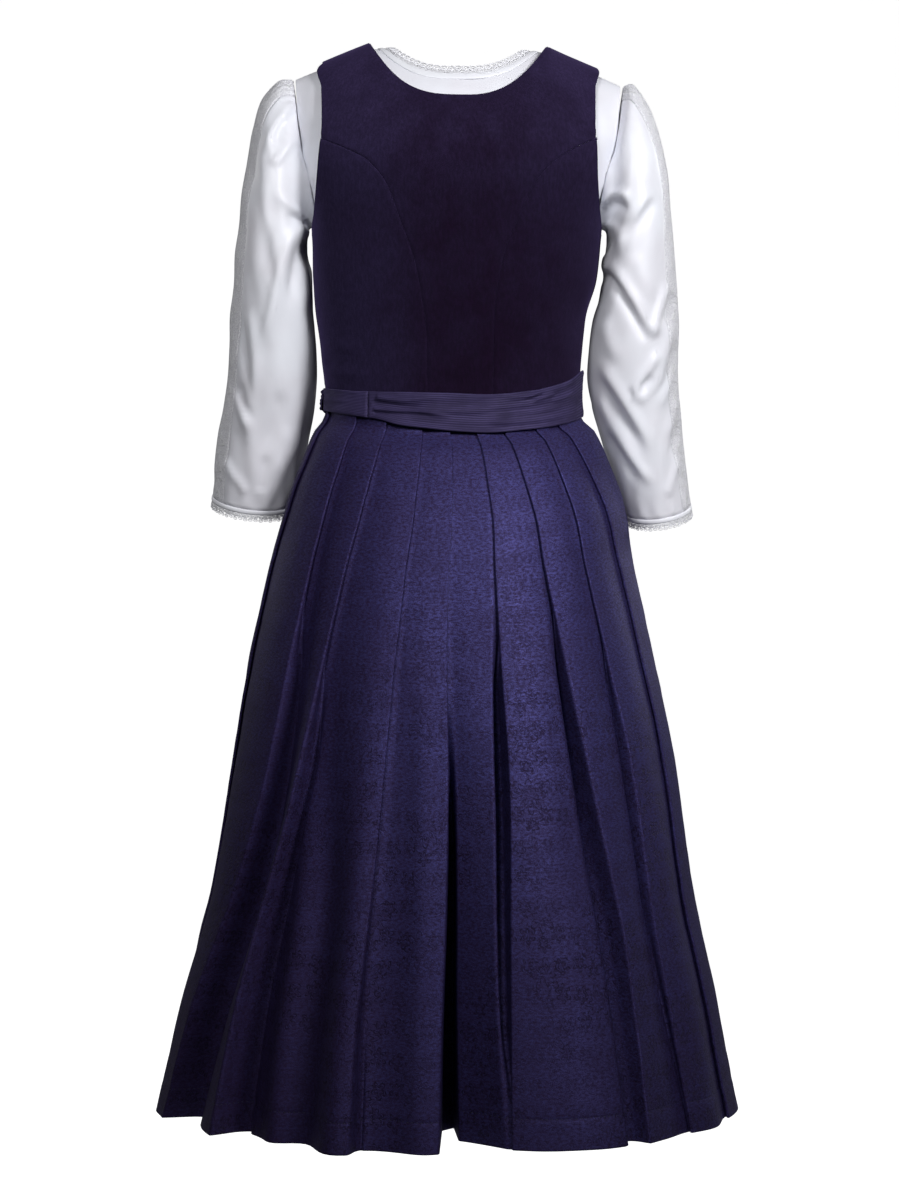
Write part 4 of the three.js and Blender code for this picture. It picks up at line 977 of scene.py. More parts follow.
@dataclass
class Body:
    """The upper body that the bodice and the blouse lie on."""

    yoke: float = -150
    rise: float = 155
    neck_half: float = 99.5
    fall: float = 0.42
    neck_rise: float = 0.1
    top: float = 5
    tilt: float = 0.02
    neck_curve: float = 2.8
    waist: float = -392
    waist_dip: float = 24
    lowest: float = -416
    straight: float = -340
    side_turn: float = 89.94
    sections: Sections = field(default_factory=lambda: Sections(
        "half back front lean square",
        (-440, 142, 94, 95, -6.5, 2), (-392, 142, 94, 95, -6.5, 2), (-347, 145.5, 97, 99, -7.5, 2.05),
        (-302, 150.5, 104, 109, -7.5, 2.15), (-258, 158, 110, 122, -3.5, 2.3),
        (-206, 162, 115, 125, -1.5, 2.4), (-150, 176, 118, 112, -1, 2.4), (-100, 188, 111, 96, 0, 2.4),
        (-50, 198, 96, 78, 0, 2.4), (20, 206, 74, 62, 0, 2.4)))

    @property
    def seam(self) -> float:
        """Climb of the shoulder seam."""
        return self.rise * 0.997

    def ridge(self, x: Array | float) -> Array:
        """Height of the shoulders across the body."""
        beyond = np.abs(x) - self.neck_half
        return self.top - np.where(beyond > 0, self.fall, self.neck_rise) * beyond - self.tilt * np.asarray(x)

    def point(self, side: Side, angle: Array, climb: Array) -> Array:
        """Points on one half of the body."""
        turn = np.sin(np.radians(90 * np.maximum(climb, 0) / self.rise))
        level = np.where(climb < 0, self.yoke + climb, lerp(self.yoke, 0, turn))
        sine, cosine = np.sin(np.radians(angle)), np.cos(np.radians(angle))
        power = 2 / self.sections.square(level)
        x = self.sections.lean(level) + self.sections.half(level) * np.sign(sine) * np.abs(sine) ** power
        z = np.where(climb < 0, level, lerp(self.yoke, self.ridge(x), turn))
        depth = (self.sections.back if side is Side.BACK else self.sections.front)(level)
        y = side.value * depth * np.sqrt(np.maximum(1 - turn ** 2, 0)) * np.abs(cosine) ** power
        return vector(x, y, z)

    def place(self, x: Array, z: Array) -> Places:
        """The places seen at x and z."""
        x, z = np.broadcast_arrays(np.asarray(x, float), np.asarray(z, float))
        rise = np.clip((z - self.yoke) / (self.ridge(x) - self.yoke), 0, 1)
        level = np.minimum(z, lerp(self.yoke, 0, rise))
        climb = np.where(z < self.yoke, z - self.yoke, self.rise * np.degrees(np.arcsin(rise)) / 90)
        across = np.clip((x - self.sections.lean(level)) / self.sections.half(level), -1, 1)
        sine = np.sign(across) * np.abs(across) ** (self.sections.square(level) / 2)
        return Places(np.degrees(np.arcsin(sine)), climb)

    def spot(self, side: Side, places: Places, distance: Array | float) -> tuple[Array, Array]:
        """Points at a distance from the body, and the way out of it there."""
        angle, climb = np.broadcast_arrays(places.angle, places.climb)
        near = np.clip(angle, -89.5, 89.5)
        across = self.point(side, near + 0.5, climb) - self.point(side, near - 0.5, climb)
        up = (self.point(side, near, np.minimum(climb + 0.6, self.rise))
              - self.point(side, near, np.minimum(climb - 0.6, self.rise)))
        out = unit(np.cross(across, up)) * -side.value
        distance = np.broadcast_to(distance, angle.shape)[..., None]
        return self.point(side, angle, climb) + out * distance, out

    def waist_seam(self, angle: Array | float) -> Array:
        """Height of the waist seam, by the angle from the centre back."""
        return self.waist - self.waist_dip * np.maximum(np.cos(np.radians(angle)), 0) ** 1.5

    def neckline(self, x: Array, half: float, lowest: float) -> Array:
        """Height of a neckline that rises to the shoulders at its half width."""
        end = self.ridge(np.sign(x) * half)
        return lerp(lowest, end, np.minimum(np.abs(x) / half, 1) ** self.neck_curve)

    def seam_edge(self, table: Curve, heights: Array, hand: float, shift: float) -> Places:
        """A seam's places at some heights, moved sideways off the seam line."""
        lean = hand * (table(heights + 1) - table(heights - 1))
        length = np.hypot(lean, 2)
        return self.place(hand * table(heights) + shift * 2 / length, heights - shift * lean / length)

    def side_edge(self, table: Curve, heights: Array, hand: float) -> Places:
        """The side seam below the armhole's lowest point, and the armhole's edge above it."""
        on_edge = self.place(self.sections.lean(heights) + hand * table(heights), heights)
        below = heights <= table.places[0]
        return Places(np.where(below, hand * self.side_turn, on_edge.angle),
                      np.where(below, heights - self.yoke, on_edge.climb))

    def shoulder_edge(self, table: Curve, low: float, hand: float, shares: Array,
                      shift: float = 0.0) -> Places:
        """An edge from a height up to the shoulder seam, in steps of the climb."""
        end = hand * table.last
        climb = lerp(self.place(self.sections.lean(low) + hand * table(low), low).climb, self.seam, shares)
        turn = np.sin(np.radians(90 * climb / self.rise))
        height = np.where(climb < 0, self.yoke + climb, lerp(self.yoke, self.ridge(end), turn))
        x = np.where(shares < 1, self.sections.lean(height) + hand * table(height), end)
        return Places(self.place(x + shift, height).angle, climb)

    def columns_at(self, places: Array, end: Callable[[Array], Array]) -> Columns:
        """Columns that pass through x places at the top, each ending at the height that `end` gives."""
        angles = self.place(places, self.ridge(places)).angle
        ends = self.place(places, end(places))
        return Columns((angles - angles[0]) / (angles[-1] - angles[0]),
                       Places(ends.angle, np.minimum(ends.climb, self.seam)))

    def panel(self, side: Side, left: Places, right: Places, columns: Columns, *, split: int = 10 ** 6,
              guide: Places | None = None, waist: bool = False, distance: float = 0.0) -> Grid:
        """A panel of the body between two edges that run from the bottom up.

        Args:
            side: the half of the body.
            left: the left edge.
            right: the right edge, with as many places.
            columns: the panel's columns.
            split: the last row that doesn't follow the neckline.
            guide: the edge that goes on up to the shoulder.
            waist: whether the bottom follows the waist seam.
            distance: how far the cloth lies from the body.

        Returns:
            The panel's grid.
        """
        guide = guide or left
        share = columns.share[None, :]
        row = np.arange(len(left.angle))[:, None]
        angle = lerp(left.angle[:, None], right.angle[:, None], share)
        climb = lerp(left.climb[:, None], right.climb[:, None], share)
        if split < len(left.angle) - 1:
            whole = guide.climb[-1] - guide.climb[split]
            rise = np.clip((guide.climb - guide.climb[split]) / whole, 0, 1)[:, None]

            def bend(edge: Places) -> Array:
                """How far an edge leaves the straight way to its end."""
                return edge.angle[:, None] - lerp(edge.angle[split], edge.angle[-1], rise)

            base = lerp(left.angle[split], right.angle[split], share)
            upper = (lerp(base, columns.end.angle[None, :], rise)
                     + bend(left) * (1 - share) ** 4 + bend(right) * share ** 4)
            angle = np.where(row > split, upper, angle)
            climb = np.where(row > split, lerp(climb[split], columns.end.climb[None, :], rise), climb)
        if waist:
            seam = self.waist_seam(angle if side is Side.BACK else 180.0) + 0.2 - self.yoke
            low, high = self.lowest - self.yoke, self.straight - self.yoke
            climb = np.where(climb < high, lerp(seam, high, (climb - low) / (high - low)), climb)
        at, out = self.spot(side, Places(angle, climb), distance)
        return Grid(at, out)


def rolled(grid: Grid, *, left: float = 0, right: float = 0, start: float = 0, end: float = 0,
           width: float = 3.0) -> Grid:
    """The cloth with its edges rolled inwards, as where it is sewn to the next piece.

    Args:
        grid: the cloth.
        left: how far its first column sinks; right, start and end likewise for the others.
        width: how far in from the edge the roll begins.

    Returns:
        The rolled cloth.
    """
    across, down = grid.across()[:, :grid.at.shape[1]], grid.down()[:, :grid.at.shape[1]]
    near = ((left, across), (right, across[:, -1:] - across), (start, down), (end, down[-1:] - down))
    amount = sum(-sink * (1 - smooth(far / width)) for sink, far in near if sink)
    return grid.lifted(amount)


# ---- Bodice --------------------------------------------------------------------------------------
@dataclass
class Bodice:
    """The sleeveless velvet bodice: seven panels, shaped by princess seams."""

    body: Body
    thick: float = 1.8
    seam_half: float = 0.2
    seam_sink: float = 0.9
    back_neck: float = -67
    front_neck: float = -168
    neck_half: float = 99.5
    back_corner: float = -112
    front_corner: float = -190
    corner_gap: float = 0.15
    armhole: Curve = Curve.through(
        (-206, 162), (-185, 157.5), (-165, 155), (-143, 153), (-122, 151), (-97, 148.5), (-49, 150.5),
        (-32, 155), (-25, 156.3), (-20.5, 154.6), (-17.5, 150.5))
    seam_left: Curve = Curve.through(
        (-420, -33), (-330, -34), (-290, -39), (-246, -48.5), (-205, -63), (-167, -78), (-138, -101.5),
        (-124, -126), (-112, -149.5))
    seam_right: Curve = Curve.through(
        (-420, 38), (-330, 38.5), (-290, 41), (-246, 48.5), (-205, 65), (-163, 85), (-134, 113), (-122, 131),
        (-112, 149.5))
    seam_front: Curve = Curve.through(
        (-420, 52), (-330, 60), (-280, 72), (-225, 86), (-190, 94), (-140, 104), (-100, 111), (-50, 120),
        (-5, 128))
    creases: tuple[Crease, ...] = (
        Crease(((-150, -330), (-128, -338), (-100, -342)), 1.6, 6),
        Crease(((-150, -352), (-132, -354)), -1.4, 5),
        Crease(((-152, -366), (-120, -368), (-90, -372)), 1.4, 6),
        Crease(((134, -318), (112, -330), (80, -338)), 1.3, 8),
        Crease(((136, -345), (118, -350), (92, -352)), -1.2, 6),
        Crease(((-60, -356), (-10, -364), (40, -360)), 1.0, 9),
        Crease(((150, -232), (128, -222), (104, -204)), -1.2, 9),
        Crease(((-154, -236), (-130, -222), (-108, -202)), -1.0, 9),
        Crease(((-92, -40), (-104, -78), (-110, -112)), 0.9, 12),
        Crease(((96, -36), (110, -80), (114, -116)), 0.9, 12),
        Crease(((118, -130), (134, -118), (152, -112)), 0.7, 6),
        Crease(((-140, -300), (-110, -330), (-84, -352)), 1.0, 9, Side.FRONT),
        Crease(((140, -302), (112, -330), (88, -352)), 1.0, 9, Side.FRONT),
        Crease(((-30, -352), (0, -358), (30, -353)), 0.9, 8, Side.FRONT))

    def _finished(self, grid: Grid, seed: int, **rolls: float) -> Grid:
        """A panel with its seams rolled in and its slow unevenness."""
        across, down = grid.at[..., 0], grid.at[..., 2]
        slow = Ripple(seed, 46)(across, down) * 0.7 + Ripple(seed + 50, 17)(across, down) * 0.16
        return rolled(grid.creased(self.creases).lifted(slow), **rolls)

    @staticmethod
    def side_shares(count: int) -> Array:
        """The columns of a side panel, with close ones along both seams."""
        return np.unique(np.concatenate([crowded(count, 0.6, 0.9), [0.01, 0.03, 0.97, 0.99]]))

    def back(self) -> list[tuple[str, Grid]]:
        """The centre back and the two side backs."""
        corner = self.back_corner
        low, high = np.linspace(self.body.lowest, corner, 84), crowded(48, 0.0, 0.8)[1:]
        inner = self.neck_half * crowded(30, 0.0, 0.5)[1:]
        outer = np.array([101, 104, 108, 113, 119, 125, 131, 137, 142, 146, 148.6, 150, 150.5])
        half = np.concatenate([inner, outer])
        places = np.concatenate([-half[::-1], [0], half])
        body = self.body
        columns = body.columns_at(places, lambda x: body.neckline(x, self.neck_half, self.back_neck))
        left, right = (body.seam_edge(seam, low, 1, -hand * self.seam_half)
                       + body.shoulder_edge(self.armhole, corner, hand, high)
                       for seam, hand in ((self.seam_left, -1), (self.seam_right, 1)))
        centre = body.panel(Side.BACK, left, right, columns, split=len(low) - 1, waist=True)
        rows = np.concatenate([low[:-1], [corner - self.corner_gap]])
        shares = self.side_shares(34)
        sink = self.seam_sink
        seams = np.where(np.arange(centre.at.shape[0])[:, None] < len(low), 1.0, 0.0)
        sunk = self._finished(centre, 3)
        across = sunk.across()
        near = np.minimum(across, across[:, -1:] - across)
        centre = sunk.lifted(-sink * (1 - smooth(near / 3)) * seams)
        side_left = body.panel(
            Side.BACK, body.side_edge(self.armhole, rows, -1),
            body.seam_edge(self.seam_left, rows, 1, -self.seam_half), Columns(shares), waist=True)
        side_right = body.panel(
            Side.BACK, body.seam_edge(self.seam_right, rows, 1, self.seam_half),
            body.side_edge(self.armhole, rows, 1), Columns(1 - shares[::-1]), waist=True)
        return [("bodice_back_centre", centre),
                ("bodice_back_side_left", self._finished(side_left, 5, right=sink)),
                ("bodice_back_side_right", self._finished(side_right, 7, left=sink))]

    def front(self, hand: Hand) -> list[tuple[str, Grid]]:
        """The centre front and the side front of one hand."""
        body, side = self.body, hand.value
        corner = self.front_corner
        low, high = np.linspace(body.waist, corner, 60), crowded(60, 0.0, 0.7)[1:]

        def seam(shift: float) -> Places:
            """The princess seam, moved sideways."""
            return (body.seam_edge(self.seam_front, low, side, shift)
                    + body.shoulder_edge(self.seam_front, corner, side, high, shift))

        outer = seam(-side * self.seam_half)
        middle = Places(np.full_like(outer.climb, side * 0.1), outer.climb)
        places = np.concatenate([[0], self.neck_half * crowded(30, 0.0, 0.5)[1:],
                                 [101, 104, 108, 113, 118, 122, 125, self.seam_front.last]])
        columns = body.columns_at(places, lambda x: body.neckline(x, self.neck_half, self.front_neck))
        columns.share = np.minimum(places / self.seam_front(corner), 1 - 0.3 * (1 - places / places[-1]))
        inner = columns if side > 0 else columns.mirrored()
        edges = (middle, outer) if side > 0 else (outer, middle)
        centre = body.panel(Side.FRONT, *edges, inner, split=len(low) - 1, guide=outer, waist=True)
        inside = seam(side * self.seam_half)
        edge = body.side_edge(self.armhole, low, side) + body.shoulder_edge(self.armhole, corner, side, high)
        shares = self.side_shares(30) if side < 0 else 1 - self.side_shares(30)[::-1]
        edges = (inside, edge) if side > 0 else (edge, inside)
        flank = body.panel(Side.FRONT, *edges, Columns(shares), waist=True)
        sink = self.seam_sink
        roll_in = {"right": sink} if side > 0 else {"left": sink}
        roll_out = {"left": sink} if side > 0 else {"right": sink}
        return [(f"bodice_front_{hand.word}", self._finished(centre, 11 + side, **roll_in)),
                (f"bodice_front_side_{hand.word}", self._finished(flank, 15 + side, **roll_out))]

    def build(self, velvet: Material) -> None:
        """Makes the seven panels."""
        panels = self.back() + self.front(Hand.LEFT) + self.front(Hand.RIGHT)
        for node, grid in panels:
            under = "blouse_back" if "back" in node else "blouse_front"
            lay(Cloth(node, "velvet", grid, self.thick, velvet), "velvet", "hung", under)


# ---- Blouse --------------------------------------------------------------------------------------
@dataclass
class Repeat:
    """A shape that Geometry Nodes repeat at even steps along a guide line, facing out of the cloth."""

    name: str
    spacing: float
    size: float

    def _shape(self, w: Wiring, size: Socket) -> Socket:
        """The shape that is repeated, with +Z out of the cloth and +Y down it."""
        raise NotImplementedError

    def tree(self) -> Tree:
        """The tree that repeats the shape."""
        tree = bpy.data.node_groups.new(self.name, "GeometryNodeTree")
        face = tree.interface
        for name, kind in (("Guide", "Geometry"), ("Spacing", "Float"), ("Size", "Float"),
                           ("Finish", "Material")):
            face.new_socket(name=name, in_out="INPUT", socket_type=f"NodeSocket{kind}")
        face.new_socket(name="Pieces", in_out="OUTPUT", socket_type="NodeSocketGeometry")
        w = Wiring(tree)
        given = w.node("NodeGroupInput")
        line = w.node("GeometryNodeMeshToCurve", {"Mesh": given.outputs["Guide"]})
        even = w.node("GeometryNodeResampleCurve",
                      {"Curve": line.outputs[0], "Length": given.outputs["Spacing"]}, mode="LENGTH")
        out, down = (next(s for s in w.node("GeometryNodeInputNamedAttribute", {"Name": name},
                                            data_type="FLOAT_VECTOR").outputs if s.enabled)
                     for name in ("out", "down"))
        upright = w.node("FunctionNodeAlignRotationToVector", {"Vector": out}, axis="Z")
        turned = w.node("FunctionNodeAlignRotationToVector", {"Rotation": upright.outputs[0], "Vector": down},
                        axis="Y", pivot_axis="Z")
        placed = w.node("GeometryNodeInstanceOnPoints",
                        {"Points": even.outputs[0], "Instance": self._shape(w, given.outputs["Size"]),
                         "Rotation": turned.outputs[0]})
        real = w.node("GeometryNodeRealizeInstances", {"Geometry": placed.outputs[0]})
        shown = w.node("GeometryNodeSetShadeSmooth", {"Geometry": real.outputs[0]})
        finished = w.node("GeometryNodeSetMaterial",
                          {"Geometry": shown.outputs[0], "Material": given.outputs["Finish"]})
        w.node("NodeGroupOutput", {"Pieces": finished.outputs[0]})
        return tree

    def along(self, guides: Sequence[tuple[Array, Array, Array, bool]], finish: Material) -> Object:
        """The shape repeated along guide lines.

        Args:
            guides: for each line its points, the ways out and down there, and whether it closes on itself.
            finish: the material.

        Returns:
            One plain mesh of all the repeats.
        """
        points, outs, downs, edges = [], [], [], []
        for at, out, down, closed in guides:
            first = sum(len(p) for p in points)
            count = len(at)
            edges += [(first + i, first + (i + 1) % count) for i in range(count if closed else count - 1)]
            points.append(at), outs.append(out), downs.append(down)
        mesh = bpy.data.meshes.new(f"{self.name} guide")
        mesh.from_pydata((np.concatenate(points) * MM).tolist(), edges, [])
        for name, values in (("out", outs), ("down", downs)):
            layer = mesh.attributes.new(name, "FLOAT_VECTOR", "POINT")
            layer.data.foreach_set("vector", np.concatenate(values).astype(np.float32).ravel())
        guide = linked(f"{self.name} guide", mesh)
        tree = self.tree()
        modifier = guide.modifiers.new("repeat", "NODES")
        modifier.node_group = tree
        values = {"Spacing": self.spacing * MM, "Size": self.size * MM, "Finish": finish}
        for item in tree.interface.items_tree:
            if item.item_type == "SOCKET" and item.in_out == "INPUT" and item.name in values:
                modifier[item.identifier] = values[item.name]
        bpy.context.view_layer.update()
        graph = bpy.context.evaluated_depsgraph_get()
        made = bpy.data.meshes.new_from_object(guide.evaluated_get(graph), preserve_all_data_layers=True,
                                               depsgraph=graph)
        guide.modifiers.clear()
        bpy.data.objects.remove(guide)
        made.name = self.name
        return linked(self.name, made)


@dataclass
class Picots(Repeat):
    """Little thread loops along a lace edge, each with a smaller one inside."""

    thread: float = 0.42

    def _shape(self, w: Wiring, size: Socket) -> Socket:
        """Two rings that hang from the edge."""
        return w.together(*(
            w.placed(w.tube(w.times(size, share), self.thread, 12, 5), w.joined(0.0, w.times(size, drop)),
                     (1.12, 0.95, 1.0))
            for share, drop in ((1.0, 1.0), (0.45, 0.62))))


@dataclass
class Stitches(Repeat):
    """A row of small sewn stitches."""

    thick: float = 0.35

    def _shape(self, w: Wiring, size: Socket) -> Socket:
        """One drawn-out bead that lies along the line."""
        bead = w.node("GeometryNodeMeshUVSphere", {"Segments": 6, "Rings": 4, "Radius": 1.0})
        return w.placed(bead.outputs[0], scale=w.joined(size, self.thick * MM, self.thick * MM))


@dataclass
class ButtonShapes(Repeat):
    """Domed buttons with a raised rim."""

    high: float = 3.0
    lift: float = 0.9

    def _shape(self, w: Wiring, size: Socket) -> Socket:
        """A dome in a rim, over a flat disc."""
        dome = w.node("GeometryNodeMeshUVSphere", {"Segments": 28, "Rings": 14, "Radius": 1.0})
        wide = w.times(size, 0.84)
        cap = w.placed(dome.outputs[0], (0, 0, self.lift * MM),
                       w.joined(wide, wide, (self.high - self.lift) * MM))
        rim = w.placed(w.tube(w.times(size, 0.86), 0.72, 28, 8), (0, 0, 0.85 * MM))
        return w.together(cap, rim)


def looped(name: str, edging: Grid, spacing: float, size: float, thick: float, thread: Material) -> Object:
    """Thread loops along the last row of a lace edging.

    Args:
        name: the loops' name.
        edging: the lace.
        spacing: from one loop to the next.
        size: a loop's radius.
        thick: the thread's radius.
        thread: its finish.

    Returns:
        The finished piece.
    """
    edge, way = edging.at[-1], unit(edging.at[-1] - edging.at[-2])
    made = Picots(name, spacing, size, thick).along([(edge, edging.normals()[-1], way, True)], thread)
    settle(made, ())
    return made


@dataclass(frozen=True)
class Whites:
    """The blouse's finishes: its cloth, its bindings, the lace of its strips and edges, and their thread."""

    cotton: Material
    binding: Material
    strip: Material
    edging: Material
    thread: Material


@dataclass
class Blouse:
    """The blouse's body, with the binding and lace round its neck."""

    body: Body
    depth: float = -7.6
    thick: float = 1.0
    neck_half: float = 84
    back_neck: float = -33
    front_neck: float = -84
    binding: float = 8
    corner: float = -115
    cropped: float = -290
    seam: Curve = Curve.through((-198, 163), (-180, 165.5), (-150, 170), (-115, 178), (-80, 181), (-30, 184))
    creases: tuple[Crease, ...] = (
        Crease(((-172, -112), (-165, -139), (-161, -165)), 2.0, 5),
        Crease(((-154, -100), (-160, -125), (-164, -150)), -1.6, 5),
        Crease(((-150, -30), (-162, -60), (-170, -96)), 1.2, 9),
        Crease(((160, -165), (169, -146), (178, -126)), 2.0, 5),
        Crease(((153, -182), (165, -174), (176, -181)), -2.0, 5),
        Crease(((158, -60), (166, -96), (164, -130)), 1.4, 8),
        Crease(((-60, -42), (-20, -56), (30, -55)), 0.8, 7),
        Crease(((-172, -130), (-162, -160)), 1.6, 6, Side.FRONT),
        Crease(((172, -130), (162, -160)), 1.6, 6, Side.FRONT),
        Crease(((-60, -112), (0, -134), (60, -112)), 1.0, 9, Side.FRONT))

    def neckline(self, side: Side, x: Array, above: float) -> Array:
        """The neckline at a height above its finished edge."""
        lowest = self.back_neck if side is Side.BACK else self.front_neck
        return self.body.neckline(x, self.neck_half - above * 0.9, lowest + above)

    def cloth(self, side: Side) -> Grid:
        """The back or the front."""
        body = self.body
        below = -self.binding - 0.4
        corner = self.neck_half - below * 0.9
        outer = np.array([94, 98, 103, 109, 116, 124, 132, 140, 148, 156, 163, 169, 174, 178, 181, 183, 184])
        half = np.concatenate([corner * crowded(28, 0.0, 0.5)[1:], outer])
        places = np.concatenate([-half[::-1], [0], half])
        columns = body.columns_at(places, lambda x: self.neckline(side, x, below))
        low, high = np.linspace(self.cropped, self.corner, 44), crowded(44, 0.0, 0.6)[1:]
        left, right = (body.side_edge(self.seam, low, hand)
                       + body.shoulder_edge(self.seam, self.corner, hand, high)
                       for hand in (-1, 1))
        grid = body.panel(side, left, right, columns, split=len(low) - 1, distance=self.depth)
        seed = 21 if side is Side.BACK else 27
        slow = Ripple(seed, 30)(grid.at[..., 0], grid.at[..., 2]) * 0.6
        return grid.creased(self.creases).lifted(slow)

    def round_neck(self, rows: Sequence[tuple[float, float]]) -> Grid:
        """A ring round the neck.

        Args:
            rows: for each row its height above the finished edge, and how far it swells out.

        Returns:
            The ring's grid, from the bottom up.
        """
        across = np.sin(np.linspace(-math.pi / 2, math.pi / 2, 131))
        points, outs = [], []
        for above, swell in rows:
            halves = []
            for side, order in ((Side.BACK, across), (Side.FRONT, across[::-1])):
                x = order * (self.neck_half - above * 0.9)
                place = self.body.place(x, self.neckline(side, x, above))
                place.climb = np.minimum(place.climb, self.body.seam)
                halves.append(self.body.spot(side, place, self.depth + 0.3 + swell))
            points.append(np.concatenate([at for at, _ in halves]))
            outs.append(np.concatenate([out for _, out in halves]))
        return Grid(np.stack(points), np.stack(outs), ring=True)

    def build(self, whites: Whites) -> None:
        """Makes the body, the binding and the lace."""
        for side, node in ((Side.BACK, "blouse_back"), (Side.FRONT, "blouse_front")):
            lay(Cloth(node, "cotton", self.cloth(side), self.thick, whites.cotton), "cotton", "hung")
        band = self.round_neck([(-8, -0.5), (-7.6, 0.2), (-6.6, 0.55), (-4, 0.7), (-1.4, 0.55), (-0.4, 0.2),
                                (0, -0.5)])
        lay(Cloth("neck_binding", "cotton", band, 1.6, whites.binding), "cotton", "folded",
            "blouse_back", "blouse_front")
        edging = self.round_neck([(0.3, -0.3), (1.2, -0.2), (2.2, -0.2), (3.2, -0.25)])
        loops = looped("neck_picots", edging, 8.4, 3.8, 0.85, whites.thread)
        lay(Cloth("neck_lace", "edging", edging, 0.9, whites.edging), "lace", "gathered", "neck_binding",
            with_pieces=[loops])


